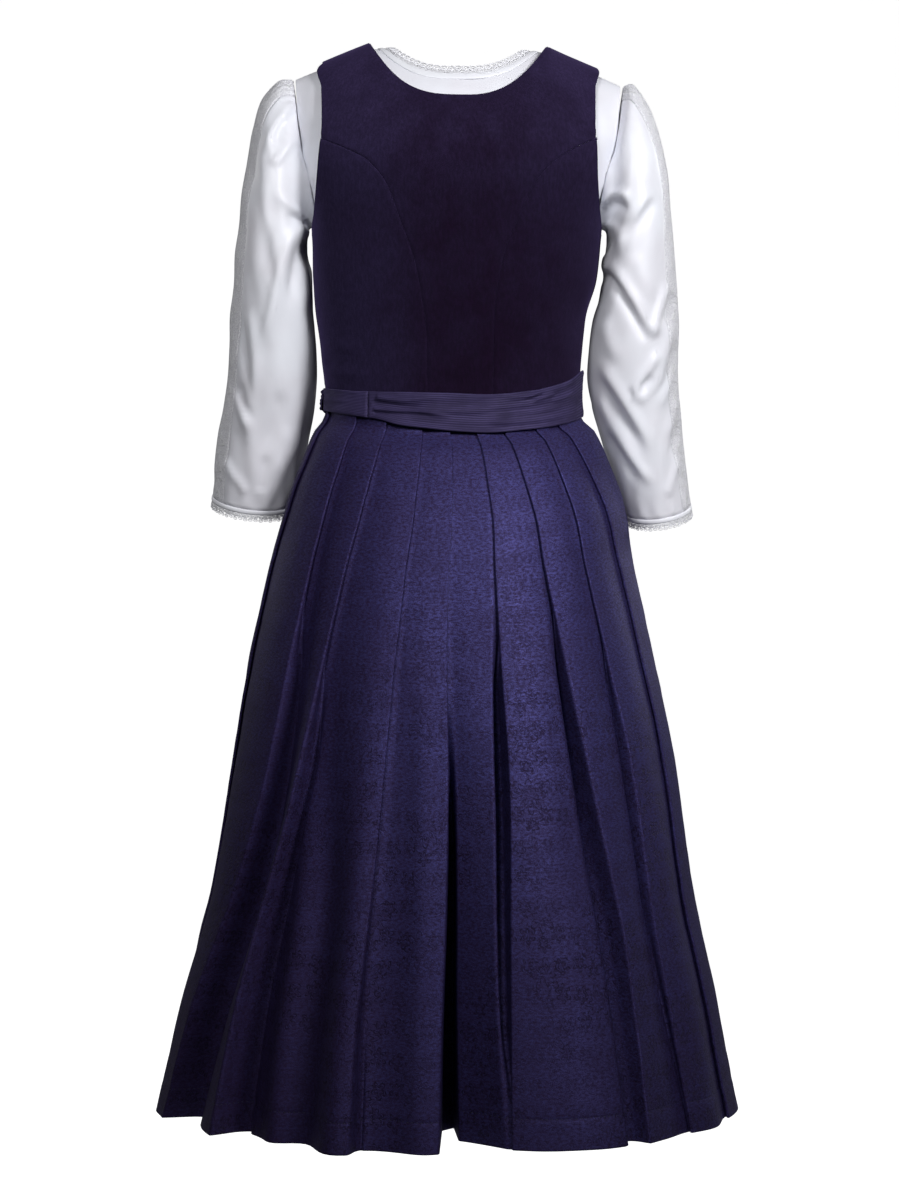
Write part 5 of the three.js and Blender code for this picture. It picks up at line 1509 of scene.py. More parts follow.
@dataclass
class Sleeve:
    """A straight sleeve with a lace strip down its outer edge and a bound cuff with lace."""

    blouse: Blouse
    hand: Hand
    edges: tuple[tuple[float, ...], ...]
    creases: tuple[Crease, ...]
    seed: int
    insertion: tuple[float, float] = (-4, 44)
    thick: float = 1.0
    rows: int = 116
    gap: float = 0.25
    lobes: float = 14

    @property
    def rings(self) -> list[tuple[float, ...]]:
        """The rings from the top: x and z of both edges, the depth in the middle, half the depth, slope."""
        return [(*edges, *depths) for edges, depths in zip(self.edges, RING_DEPTHS)]

    def _seam(self, turn: Array) -> Array:
        """The armhole seam: 0 at the shoulder, 90 behind, 180 at the bottom, 270 in front."""
        body, hand = self.blouse.body, self.hand.value
        low = self.blouse.seam.places[0]
        z = lerp(low, body.ridge(hand * self.blouse.seam.last), (1 + np.cos(np.radians(turn))) / 2)
        place = body.side_edge(self.blouse.seam, z, hand)
        back, _ = body.spot(Side.BACK, place, self.blouse.depth)
        front, _ = body.spot(Side.FRONT, place, self.blouse.depth)
        return np.where((np.sin(np.radians(turn)) >= 0)[..., None], back, front)

    def _ring(self, ring: tuple[float, ...], turn: Array) -> Array:
        """One ring's points."""
        out_x, out_z, in_x, in_z, y, deep, fall = ring
        reach, back = np.cos(np.radians(turn)) / 2, np.sin(np.radians(turn))
        return vector((out_x + in_x) / 2 + reach * (out_x - in_x), y - back * deep,
                      (out_z + in_z) / 2 + reach * (out_z - in_z) - back * fall)

    def cloth(self, turns: Array) -> Grid:
        """The sleeve between some turns, from the armhole to the cuff, before its creases."""
        first = self._seam(turns)
        rings = np.stack([self._ring(ring, turns) for ring in self.rings])
        seam = first + unit(rings[0] - first) * 0.5
        whole = np.linspace(0, 360, 48, endpoint=False)
        start = self._seam(whole)
        marks = np.stack([start, *(self._ring(ring, whole) for ring in self.rings)])
        steps = np.linalg.norm(np.diff(marks, axis=0), axis=-1).mean(axis=1)
        places = np.concatenate([[0], np.cumsum(steps)])
        points = np.concatenate([seam[None], rings])
        at = line_through(points, places, places[-1] * crowded(self.rows, 0.35, 0.1))
        row, hand = np.arange(self.rows), self.hand.value
        middle = vector(*(np.interp(row, [0, row[-1]], ends)
                          for ends in ((hand * 205.0, hand * 225.0), (0.0, 60.0), (-120.0, -500.0))))
        return Grid(at, at - middle[:, None, :])

    def dressed(self, turns: Array) -> Grid:
        """The sleeve between some turns with its tucks, folds and unevenness."""
        grid = self.cloth(turns)
        from_seam, turn = grid.down(), turned_in(turns)[None, :]
        to_cuff = from_seam[-1:] - from_seam
        head = (np.exp(-(((turn - 12) / 52) ** 2)) * np.exp(-((from_seam / 17) ** 1.6))
                * smooth(from_seam / 2.5))
        wander = 5 * Ripple(self.seed, 20)(turn, from_seam)
        tucks = 1.5 * head * np.sin(np.radians(turn + wander) * 38)
        slow = (Ripple(self.seed + 3, 34)(turn * 1.4, from_seam) * 1.3
                + Ripple(self.seed + 4, 80)(turn * 1.4, from_seam) * 2.0)
        calm = smooth(from_seam / 30) * smooth(to_cuff / 22)
        cuffed = 0.7 * np.sin(np.radians(turn) * 13 + self.seed) * np.exp(-((to_cuff / 16) ** 2))
        return grid.lifted(tucks + slow * calm + cuffed * smooth(to_cuff / 5)).creased(self.creases)

    def cuff(self, rows: Sequence[tuple[float, float]], scallop: float = 0.0) -> Grid:
        """A ring below the sleeve.

        Args:
            rows: for each row how far down it lies and how far it swells out.
            scallop: depth of the lobes at the last row.

        Returns:
            The ring's grid, from the top down.
        """
        turn = np.linspace(0, 360, 192, endpoint=False)
        last, before = self.rings[-1], self.rings[-2]
        middle = (self._ring(last, np.array([0.0, 180.0]))).mean(axis=0)
        along = unit(middle - self._ring(before, np.array([0.0, 180.0])).mean(axis=0))
        base = self._ring(last, turn)
        out = unit(base - middle)
        lobes = scallop * np.abs(np.sin(np.radians(turn) * self.lobes))
        at = np.stack([base + along * (down + (lobes * (i / (len(rows) - 1)) ** 2)[:, None]) + out * swell
                       for i, (down, swell) in enumerate(rows)])
        return Grid(at, np.broadcast_to(out, at.shape), ring=True)

    def build(self, whites: Whites) -> None:
        """Makes the sleeve, its strip, and its cuff with lace."""
        word, thick, gap = self.hand.word, self.thick, self.gap
        low, high = self.insertion
        sewn = "blouse_back", "blouse_front"
        main = rolled(self.dressed(np.linspace(high + gap, 360 + low - gap, 132)),
                      left=0.5, right=0.5, start=0.4, width=2.5)
        lay(Cloth(f"sleeve_{word}", "cotton", main, thick, whites.cotton), "cotton", "hung", *sewn)
        strip = rolled(self.dressed(np.linspace(low + gap, high - gap, 26)),
                       left=0.4, right=0.4, start=0.4, width=2)
        lay(Cloth(f"sleeve_insertion_{word}", "lace", strip, thick, whites.strip), "lace", "hung", *sewn)
        bound = self.cuff([(0.0, -0.2), (0.5, 0.5), (1.4, 0.95), (3.0, 1.05), (4.4, 0.9), (5.2, 0.4),
                           (5.4, -0.2)])
        lay(Cloth(f"cuff_binding_{word}", "cotton", bound, 1.8, whites.binding), "cotton", "folded",
            f"sleeve_{word}")
        edging = self.cuff([(5.0, 0.0), (6.4, 0.15), (7.8, 0.1), (8.8, 0.0)], 1.2)
        loops = looped(f"cuff_picots_{word}", edging, 6.2, 1.9, 0.42, whites.thread)
        lay(Cloth(f"cuff_lace_{word}", "edging", edging, 0.9, whites.edging), "lace", "gathered",
            f"cuff_binding_{word}", with_pieces=[loops])


RING_DEPTHS = (
    (1, 52, 0), (2, 60, 0), (4, 66, 0), (7, 68, 0), (10, 66, 0), (15, 63, 1), (23, 60, 3), (34, 57, 6),
    (46, 53, 9), (57, 50, 12), (66, 46, 14))
LEFT_EDGES = (
    (-202, -36, -166.5, -201), (-217, -52, -168.5, -211), (-230, -88, -168.5, -226),
    (-239, -132, -166.5, -248), (-245, -186, -165, -276), (-250, -242, -161.5, -310),
    (-256, -300, -160, -347), (-263, -360, -162.5, -387), (-270, -415, -169, -431),
    (-276, -461, -178, -474), (-280, -495, -188, -506))
RIGHT_EDGES = (
    (196, -41, 165, -203), (208, -58, 166, -212), (222, -90, 165.5, -227), (233, -132, 163.5, -247),
    (239, -186, 160, -272), (244, -242, 152.5, -305), (248, -300, 147, -342), (250, -360, 150, -385),
    (254, -415, 163, -431), (260, -465, 178, -478), (266, -505, 190, -516))

LEFT_FOLDS = (
    Crease(((-181, -62), (-196, -86), (-208, -111), (-212, -128)), 3.6, 5.5, fade=(0.15, 0.3)),
    Crease(((-211, -128), (-202, -134), (-190, -121), (-181, -100)), 2.8, 5, fade=(0.3, 0.3)),
    Crease(((-190, -84), (-199, -104), (-200, -120)), -3.0, 5.5),
    Crease(((-222, -92), (-226, -130), (-224, -170)), -2.0, 9),
    Crease(((-160, -194), (-175, -205), (-187, -223), (-198, -260), (-209, -308), (-222, -341)), 4.2, 8,
           lean=0.25, fade=(0.03, 0.35)),
    Crease(((-170, -196), (-184, -184), (-200, -168)), 3.2, 5.5, fade=(0.05, 0.45)),
    Crease(((-162, -201), (-176, -194), (-192, -193)), -4.5, 4.5, fade=(0.03, 0.5)),
    Crease(((-163, -210), (-174, -228), (-182, -262), (-186, -300)), -3.8, 7, fade=(0.05, 0.5)),
    Crease(((-164, -232), (-168, -262), (-170, -300)), 2.4, 6),
    Crease(((-203, -166), (-205, -196), (-211, -232), (-219, -275)), -2.6, 9),
    Crease(((-241, -286), (-238, -324), (-233, -369), (-229, -418)), -2.8, 5.5),
    Crease(((-234, -290), (-228, -330), (-225, -372)), 2.2, 7),
    Crease(((-252, -375), (-242, -406), (-236, -420), (-228, -431)), 3.0, 5),
    Crease(((-246, -372), (-236, -402), (-226, -420)), -2.6, 5),
    Crease(((-265, -455), (-255, -473), (-244, -487), (-237, -499)), 2.6, 5, fade=(0.2, 0.15)),
    Crease(((-222, -341), (-229, -375), (-234, -409), (-228, -458)), 3.2, 8),
    Crease(((-196, -380), (-206, -420), (-222, -456)), -2.4, 9),
    Crease(((-186, -418), (-198, -452), (-206, -488)), 2.2, 9),
    Crease(((-214, -452), (-219, -474), (-222, -494)), -2.2, 6, fade=(0.3, 0.1)),
    Crease(((-170, -205), (-190, -230), (-206, -290)), 4, 9, Side.FRONT),
    Crease(((-186, -200), (-206, -176)), 3, 7, Side.FRONT),
    Crease(((-168, -250), (-186, -300), (-196, -360)), -3, 9, Side.FRONT),
    Crease(((-246, -250), (-236, -310), (-240, -372)), 2.6, 8, Side.FRONT),
    Crease(((-190, -380), (-214, -420), (-230, -470)), 3, 8, Side.FRONT),
    Crease(((-254, -380), (-236, -420), (-222, -440)), -2.6, 7, Side.FRONT))
RIGHT_FOLDS = (
    Crease(((160, -178), (171, -167), (182, -172), (187, -184)), 3.4, 5, fade=(0.15, 0.35)),
    Crease(((160, -186), (170, -179), (180, -184), (180, -196)), -4.2, 5, fade=(0.1, 0.4)),
    Crease(((157, -194), (172, -201), (179, -218), (173, -240)), 3.6, 4.5, fade=(0.05, 0.35)),
    Crease(((158, -206), (166, -214), (167, -230)), -4.0, 4.5, fade=(0.05, 0.4)),
    Crease(((158, -230), (176, -260), (197, -294), (216, -326)), 4.6, 6, lean=0.3, fade=(0.05, 0.12)),
    Crease(((162, -246), (180, -278), (200, -312), (212, -332)), -4.2, 5.5, fade=(0.1, 0.2)),
    Crease(((234, -258), (226, -284), (220, -306), (216, -326)), 3.4, 5.5, fade=(0.35, 0.1)),
    Crease(((240, -270), (233, -294), (226, -318)), -2.4, 6),
    Crease(((222, -170), (206, -191), (192, -210), (186, -226)), -2.6, 7),
    Crease(((214, -166), (196, -190), (184, -206)), 2.2, 6),
    Crease(((226, -336), (212, -358), (199, -376), (193, -387)), 3.8, 5.5, fade=(0.3, 0.1)),
    Crease(((193, -386), (202, -391), (214, -391)), 2.8, 5, fade=(0.1, 0.5)),
    Crease(((216, -366), (206, -380), (202, -384)), -3.0, 5.5),
    Crease(((153, -343), (170, -372), (192, -406), (221, -453)), 3.6, 6.5, lean=0.2),
    Crease(((151, -360), (168, -390), (190, -424), (214, -462)), -3.0, 6),
    Crease(((153, -376), (172, -418), (200, -464), (222, -489)), 3.4, 6, fade=(0.2, 0.15)),
    Crease(((166, -424), (186, -458), (206, -486)), -2.4, 6),
    Crease(((242, -297), (232, -335), (222, -372), (201, -398)), 3.0, 5.5),
    Crease(((246, -322), (237, -356), (228, -384)), -2.4, 5),
    Crease(((241, -352), (231, -384), (222, -406)), 2.4, 5),
    Crease(((247, -385), (240, -413), (235, -438)), 2.6, 5),
    Crease(((250, -412), (244, -436), (238, -460)), -2.2, 5),
    Crease(((250, -455), (242, -478), (236, -500)), 2.4, 5, fade=(0.2, 0.1)),
    Crease(((160, -300), (168, -330), (182, -356)), 2.2, 8),
    Crease(((190, -232), (204, -262), (222, -286)), 1.6, 9),
    Crease(((166, -205), (188, -236), (206, -296)), 4, 9, Side.FRONT),
    Crease(((184, -198), (204, -176)), 3, 7, Side.FRONT),
    Crease(((160, -250), (180, -300), (192, -356)), -3, 9, Side.FRONT),
    Crease(((240, -250), (230, -306), (234, -366)), 2.6, 8, Side.FRONT),
    Crease(((186, -380), (210, -420), (226, -470)), 3, 8, Side.FRONT),
    Crease(((246, -380), (230, -420), (216, -440)), -2.6, 7, Side.FRONT))


# ---- Skirt ---------------------------------------------------------------------------------------
@dataclass(frozen=True)
class SoftFold:
    """A soft fold of the lower skirt: its angle and push at thigh, knee and hem, and half its width."""

    angles: tuple[float, float, float]
    push: tuple[float, float, float]
    width: float


@dataclass(frozen=True)
class Pleat:
    """A knife pleat: where it runs, how wide it opens, how deep its bottom and its covered panel lie, and
    whether its walls stand steep.
    """

    lap: Lap
    angles: tuple[float, float, float, float, float]
    mouth: tuple[float, float, float]
    deep: tuple[float, float]
    land: float
    steep: bool = False

    def sizes(self, share: Array, flat: float) -> tuple[Array, Array, Array, Array]:
        """The line's angle, the mouth's width, the bottom's depth and the covered panel's depth."""
        thigh, knee, hem = self.mouth
        deep_thigh, deep_hem = self.deep
        mouth = Curve(STATIONS, (0, 0.2 * thigh, thigh, knee, hem))(share)
        deep = Curve(STATIONS, (flat, lerp(flat, deep_thigh, 0.4), deep_thigh,
                                lerp(deep_thigh, deep_hem, 0.45), deep_hem))(share)
        land = Curve(STATIONS, (flat, *(lerp(flat, self.land, part) for part in (0.15, 0.4, 0.7)),
                                self.land))(share)
        return Curve(STATIONS, self.angles)(share), mouth, np.maximum(deep, flat), np.maximum(land, flat)


STATIONS = (0.0, 0.26, 0.52, 0.75, 1.0)  # waist, hip, thigh, knee and hem, as shares of the skirt's fall
HEM_STITCH = 0.9594  # the share at which the hem's stitches show
SKIRT_FALL = 788
BEFORE, AFTER = Lap.BEFORE, Lap.AFTER
PLEATS = (
    Pleat(AFTER, (-137, -138, -140, -142, -143), (2, 4, 6), (7, 12), 8),
    Pleat(AFTER, (-104, -107, -112, -117, -120), (3, 6, 10), (9, 16), 10),
    Pleat(BEFORE, (-76, -82, -88, -94, -98), (3, 5, 6), (8, 10), 8),
    Pleat(BEFORE, (-48, -50, -55, -64, -73), (15, 24, 30), (34, 54), 42),
    Pleat(BEFORE, (-30, -35.5, -42, -49, -50), (9, 16, 22), (28, 46), 36),
    Pleat(BEFORE, (-13, -14.5, -17, -18, -17), (3, 6, 9), (14, 24), 20),
    Pleat(BEFORE, (-1, -1, -1, -1, -1), (6, 13, 25), (46, 124), 54, True),
    Pleat(AFTER, (10, 13.5, 14, 13.5, 13), (13, 11, 1.5), (32, 8), 5, True),
    Pleat(AFTER, (22, 31, 36.5, 41, 40), (17, 26, 24), (34, 30), 8),
    Pleat(AFTER, (38, 47, 52, 53, 54), (9, 7, 4), (18, 11), 6),
    Pleat(AFTER, (52, 67, 71, 72, 73), (3, 4, 3), (9, 9), 5),
    Pleat(BEFORE, (104, 107, 109, 110, 111), (3, 6, 10), (9, 15), 8),
    Pleat(BEFORE, (137, 138, 139, 140, 141), (2, 4, 6), (7, 12), 8),
)


@dataclass
class Skirt:
    """The pleated skirt: a back and a front width, joined at the sides."""

    body: Body
    hem: float = -1180
    gap: float = 0.9
    thick: float = 1.2
    air: float = 0.5
    tuck: float = 9
    open_mouth: float = 8
    soft_start: float = 0.3
    side_gap: float = 0.08
    mean_radius: float = 170
    sections: Sections = field(default_factory=lambda: Sections(
        "half back front lean",
        (-1180, 322, 275, 258, -14), (-1064, 299, 254, 240, -12), (-930, 268, 231, 219, -8),
        (-795, 247, 205, 195, -6), (-661, 222, 176, 168, -8), (-571, 202, 155, 150, -7),
        (-504, 187, 137, 134, -3), (-459, 171, 121, 120, -3), (-425, 156, 106, 106, -4),
        (-409, 142.3, 94.3, 95.3, -6.5), (-392, 142, 94, 95, -6.5)))
    folds: tuple[SoftFold, ...] = (
        SoftFold((-21.5, -21, -20), (5, 13, 21), 5), SoftFold((-33, -29.5, -29), (-4, -11, -14), 4.5),
        SoftFold((-41, -38, -35.5), (3, 7, 9), 3.5), SoftFold((-6.5, -5.5, -4), (3, 6, 8), 4),
        SoftFold((8, 8, 8), (-2, -11, -22), 8), SoftFold((35, 35, 34), (0, 7, 15), 9),
        SoftFold((62, 62, 61), (0, 3, 5), 6), SoftFold((-66, -66, -66), (0, 3, 5), 6))
    share_rows: Array = field(default_factory=lambda: np.unique(np.round(np.concatenate([
        [0, 0.006, 0.012, 0.02], np.linspace(0.03, 0.945, 74),
        [0.952, 0.9565, 0.9585, HEM_STITCH, 0.9603, 0.962, 0.967], np.linspace(0.974, 0.996, 4),
        [0.9985, 1.0]]), 5)))

    def point(self, angle: Array, share: Array, folded: float = 1.0) -> Array:
        """A point of the skirt's form without its pleats, with its soft folds or without."""
        angle, share = np.broadcast_arrays(np.asarray(angle, float), np.asarray(share, float))
        turn = turned_in(angle)
        level = lerp(self.body.waist, self.hem, share)
        depth = np.where(np.abs(turn) <= 90, self.sections.back(level), self.sections.front(level))
        push = np.zeros_like(turn)
        for fold in self.folds:
            middle = Curve(STATIONS[2:], fold.angles)(share)
            size = Curve((self.soft_start, *STATIONS[2:]), (0.0, *fold.push))(share)
            push = push + size * np.exp(-(((turn - middle) / fold.width) ** 2))
        out = outwards(turn)
        base = vector(self.sections.lean(level) + self.sections.half(level) * out[..., 0],
                      depth * out[..., 1], lerp(self.body.waist_seam(turn) - self.gap, self.hem, share))
        return base + out * (folded * push)[..., None]

    def pace(self, angle: Array, share: Array) -> Array:
        """The form's length along one degree."""
        return np.linalg.norm(self.point(angle + 0.5, share) - self.point(angle - 0.5, share), axis=-1)

    def spot(self, angle: Array, share: Array, along: Array, deep: Array) -> Array:
        """A point of the form moved along its curve and into it."""
        place = angle + along / self.pace(angle, share)
        way = self.point(place + 0.5, share, 0.0) - self.point(place - 0.5, share, 0.0)
        way[..., 2] = 0
        way = unit(way)
        out = vector(way[..., 1], -way[..., 0], 0)
        return self.point(place, share) - out * np.asarray(deep)[..., None]

    def _corners(self, pleat: Pleat, share: Array) -> tuple[Array, Array, Array]:
        """A pleat's path with rounded corners.

        Args:
            pleat: the pleat.
            share: shares of the length, one per row.

        Returns:
            Its angle, and for each row its points along the cloth and into it, from the panel before it on.
        """
        flat = 2 * self.thick + 2 * self.air
        angle, mouth, deep, land = pleat.sizes(share, flat)
        gape = np.clip(mouth / self.open_mouth, 0, 1)
        under = 2 * self.thick + self.air
        steep = float(pleat.steep)
        along = [np.full_like(mouth, -14), 0 * mouth, lerp(0, 1.5 - 1.5 * steep, gape),
                 lerp(-self.tuck, lerp(0.25, 0.04, steep) * mouth, gape),
                 lerp(-self.tuck, lerp(0.75, 0.92, steep) * mouth, gape), mouth + 1.5, mouth + 16]
        into = [0 * mouth, 0 * mouth, lerp(under, np.minimum(0.3 * deep, 6), gape),
                lerp(under, lerp(0.75, 0.97, steep) * deep, gape), lerp(under + self.air, deep, gape),
                land, land * 0.8]
        path = np.stack([np.stack(along), np.stack(into)], axis=-1)
        radii = [lerp(1.7, 4.5 - 2 * steep, gape), lerp(1.7, 5.0, gape), lerp(0.25, 9.0 - 6 * steep, gape),
                 lerp(0.25, 11.0 - 8 * steep, gape), lerp(2.0, 8.0 - 5 * steep, gape)]
        steps = np.linspace(0, 1, 5)
        points = []
        for k, radius in enumerate(radii, start=1):
            back, ahead = path[k - 1] - path[k], path[k + 1] - path[k]
            room = 0.46 * np.minimum(np.linalg.norm(back, axis=-1), np.linalg.norm(ahead, axis=-1))
            reach = np.minimum(radius, room)[:, None]
            start, end = path[k] + unit(back) * reach, path[k] + unit(ahead) * reach
            points += [(1 - t) ** 2 * start + 2 * t * (1 - t) * path[k] + t * t * end for t in steps]
        whole = np.stack(points, axis=1)
        along, into = pleat.lap.value * whole[..., 0], whole[..., 1]
        if pleat.lap is Lap.AFTER:
            along, into = along[:, ::-1], into[:, ::-1]
        return angle, along, into

    def width(self, pleats: Sequence[Pleat], start: Array, end: Array, seed: int) -> tuple[Grid, Array]:
        """One width of the skirt between two side seams.

        Args:
            pleats: its pleats in order.
            start: the angle where it starts, by row.
            end: the angle where it ends, by row.
            seed: for the cloth's unevenness.

        Returns:
            Its grid, and the map places of each face's corners.
        """
        share = self.share_rows
        places, depths, panels = [], [], []
        last_place, last_deep = start + self.side_gap, np.zeros_like(share)
        turn = 0.0
        for number, pleat in enumerate([*pleats, None]):
            if pleat is None:
                next_place, next_deep = end - self.side_gap, np.zeros_like(share)
            else:
                angle, along, into = self._corners(pleat, share)
                turn += 360 if places and angle[0] + turn < last_place[0] - 180 else 0
                spots = (angle + turn)[:, None] + along / self.pace(angle + turn, share)[:, None]
                next_place, next_deep = spots[:, 0], into[:, 0]
            edge = number == 0 or pleat is None
            t = np.linspace(0, 1, 20)[slice(0 if number == 0 else 1, None if pleat is None else -1)]
            place = lerp(last_place[:, None], next_place[:, None], t)
            reach = np.linalg.norm(self.point(next_place, share) - self.point(last_place, share), axis=-1)
            belly = (0.012 + 0.022 * smooth(share / 0.8)) * reach * (0.6 if edge else 1.0)
            belly = np.minimum(belly, 0.5 + 4.0 * smooth(share / 0.3))
            deep = lerp(last_deep[:, None], next_deep[:, None], t) - belly[:, None] * np.sin(np.pi * t) ** 1.2
            places.append(place), depths.append(deep)
            panels += [number] * len(t)
            if pleat is not None:
                places.append(spots), depths.append(into)
                count = spots.shape[1]
                upper = count * 12 // 25  # the points before the fold that is tucked deepest
                first = upper if pleat.lap is Lap.BEFORE else count - upper
                panels += [number] * first + [number + 1] * (count - first)
                last_place, last_deep = spots[:, -1], into[:, -1]
        place, deep = np.concatenate(places, axis=1), np.concatenate(depths, axis=1)
        rows = share[:, None]
        wide, fall = np.radians(place) * self.mean_radius, rows * SKIRT_FALL
        loose = smooth((rows - 0.03) / 0.2)
        deep = deep - loose * (1.5 * Ripple(seed, 95)(wide, fall * 0.45)
                               + 0.7 * Ripple(seed + 1, 38)(wide, fall * 0.5))
        deep = deep - 0.35 * smooth((rows - 0.02) / 0.05) * Ripple(seed + 2, 13)(wide, fall * 0.8)
        deep = deep + 0.45 * np.exp(-(((rows - HEM_STITCH) * SKIRT_FALL / 1.3) ** 2))
        deep = deep - 0.25 * smooth((rows - HEM_STITCH) / 0.008)
        at = self.spot(place, np.broadcast_to(rows, place.shape), np.zeros_like(place), deep)
        grid = Grid(at, outwards(place))
        return grid, self.panel_map(grid, np.array(panels))

    @staticmethod
    def panel_map(grid: Grid, panels: Array) -> Array:
        """The map places of each face's corners: every panel has its figures level about its own middle.

        Args:
            grid: the cloth.
            panels: the panel that each column belongs to.

        Returns:
            Four places for each face.
        """
        across, down = grid.across() * MM, grid.down() * MM
        owner = panels[:-1]
        middle = np.array([int(np.flatnonzero(panels == p).mean()) for p in owner])
        base = 0.052 * (0.5 + owner * 3) + 0.013 * (owner % 3)  # no two neighbours show the same figures
        u = [base + side - across[:, middle] for side in (across[:, :-1], across[:, 1:])]
        v = down[:, middle]
        ends = ((0, slice(None, -1)), (1, slice(None, -1)), (1, slice(1, None)), (0, slice(1, None)))
        return np.stack([np.stack([u[k][rows], v[rows]], -1) for k, rows in ends], axis=-2)

    def build(self, jacquard: Material, thread: Material) -> None:
        """Makes both widths and the hem's stitches."""
        share = self.share_rows
        left = lerp(-93.0, -112.0, smooth(share))
        right = lerp(88.0, 99.0, smooth(share))
        behind = [p for p in PLEATS if -93 < p.angles[0] < 88]
        ahead = [p for p in PLEATS if p.angles[0] > 88] + [p for p in PLEATS if p.angles[0] < -93]
        row = int(np.argmin(np.abs(share - HEM_STITCH)))
        for node, pleats, start, end, seed in (("skirt_back", behind, left, right, 31),
                                               ("skirt_front", ahead, right, left + 360, 37)):
            grid, corners = self.width(pleats, start, end, seed)
            normals = grid.normals()
            line = grid.at[row] + normals[row] * 0.25
            stitches = Stitches(f"{node}_hem_stitches", 5.2, 1.5, 0.32).along(
                [(line, normals[row], unit(grid.at[row + 1] - grid.at[row]), False)], thread)
            settle(stitches, ())
            lay(Cloth(node, "jacquard", grid, self.thick, jacquard, corners), "jacquard", "hung",
                "bodice_back_centre", "bodice_front_left", with_pieces=[stitches])


# ---- Apron ---------------------------------------------------------------------------------------
TIE_FOLDS = (
    Crease(((-93, -408), (-75, -410), (-43, -412), (-22, -415), (2, -419)), 2.2, 2.8, lean=-0.3,
           fade=(0.02, 0.3)),
    Crease(((-93, -411), (-75, -413), (-43, -415), (-20, -418)), -2.5, 2.0, fade=(0.02, 0.3)),
    Crease(((-93, -400), (-71, -405), (-52, -407), (-26, -406)), -1.8, 2.8, fade=(0.02, 0.4)),
    Crease(((-90, -395), (-60, -399), (-34, -397), (-9, -396)), 2.0, 3.5, fade=(0.03, 0.4)),
    Crease(((-54, -411), (-9, -412), (21, -412), (45, -407)), 1.4, 3.2),
    Crease(((-30, -402), (10, -404), (50, -402)), -1.4, 3.2),
    Crease(((4, -410), (28, -404), (53, -397), (81, -393)), 1.7, 3.0),
    Crease(((10, -405), (34, -399), (62, -394)), -1.4, 2.5),
    Crease(((17, -402), (43, -400), (64, -395)), -1.5, 2.5),
    Crease(((28, -412), (60, -410), (94, -403), (128, -390)), -1.5, 2.8),
    Crease(((30, -416), (66, -413), (100, -407), (130, -396)), 1.5, 3.0),
    Crease(((71, -397), (83, -392), (94, -388)), 2.2, 2.2),
    Crease(((66, -400), (82, -396), (96, -391)), -2.1, 2.0),
    Crease(((79, -400), (94, -394), (109, -389)), 2.1, 2.2),
    Crease(((101, -399), (113, -395), (129, -386)), 1.8, 2.5),
    Crease(((104, -392), (118, -386), (131, -376)), -1.8, 2.2),
    Crease(((-86, -419), (-43, -423), (0, -428), (43, -429), (86, -425)), -1.2, 3.0),
    Crease(((21, -420), (53, -423), (96, -418), (131, -409)), 1.4, 3.2),
    Crease(((-88, -424), (-50, -428), (-12, -431)), 1.0, 2.8))
BAND_FOLDS = (
    Crease(((-150, -377), (-132, -381), (-100, -387)), -1.1, 1.8, fade=(0.05, 0.3)),
    Crease(((-150, -381), (-130, -385), (-104, -390)), 0.9, 2.2, fade=(0.05, 0.3)),
    Crease(((-149, -394), (-136, -396), (-118, -398)), 0.8, 2.4, fade=(0.05, 0.4)))


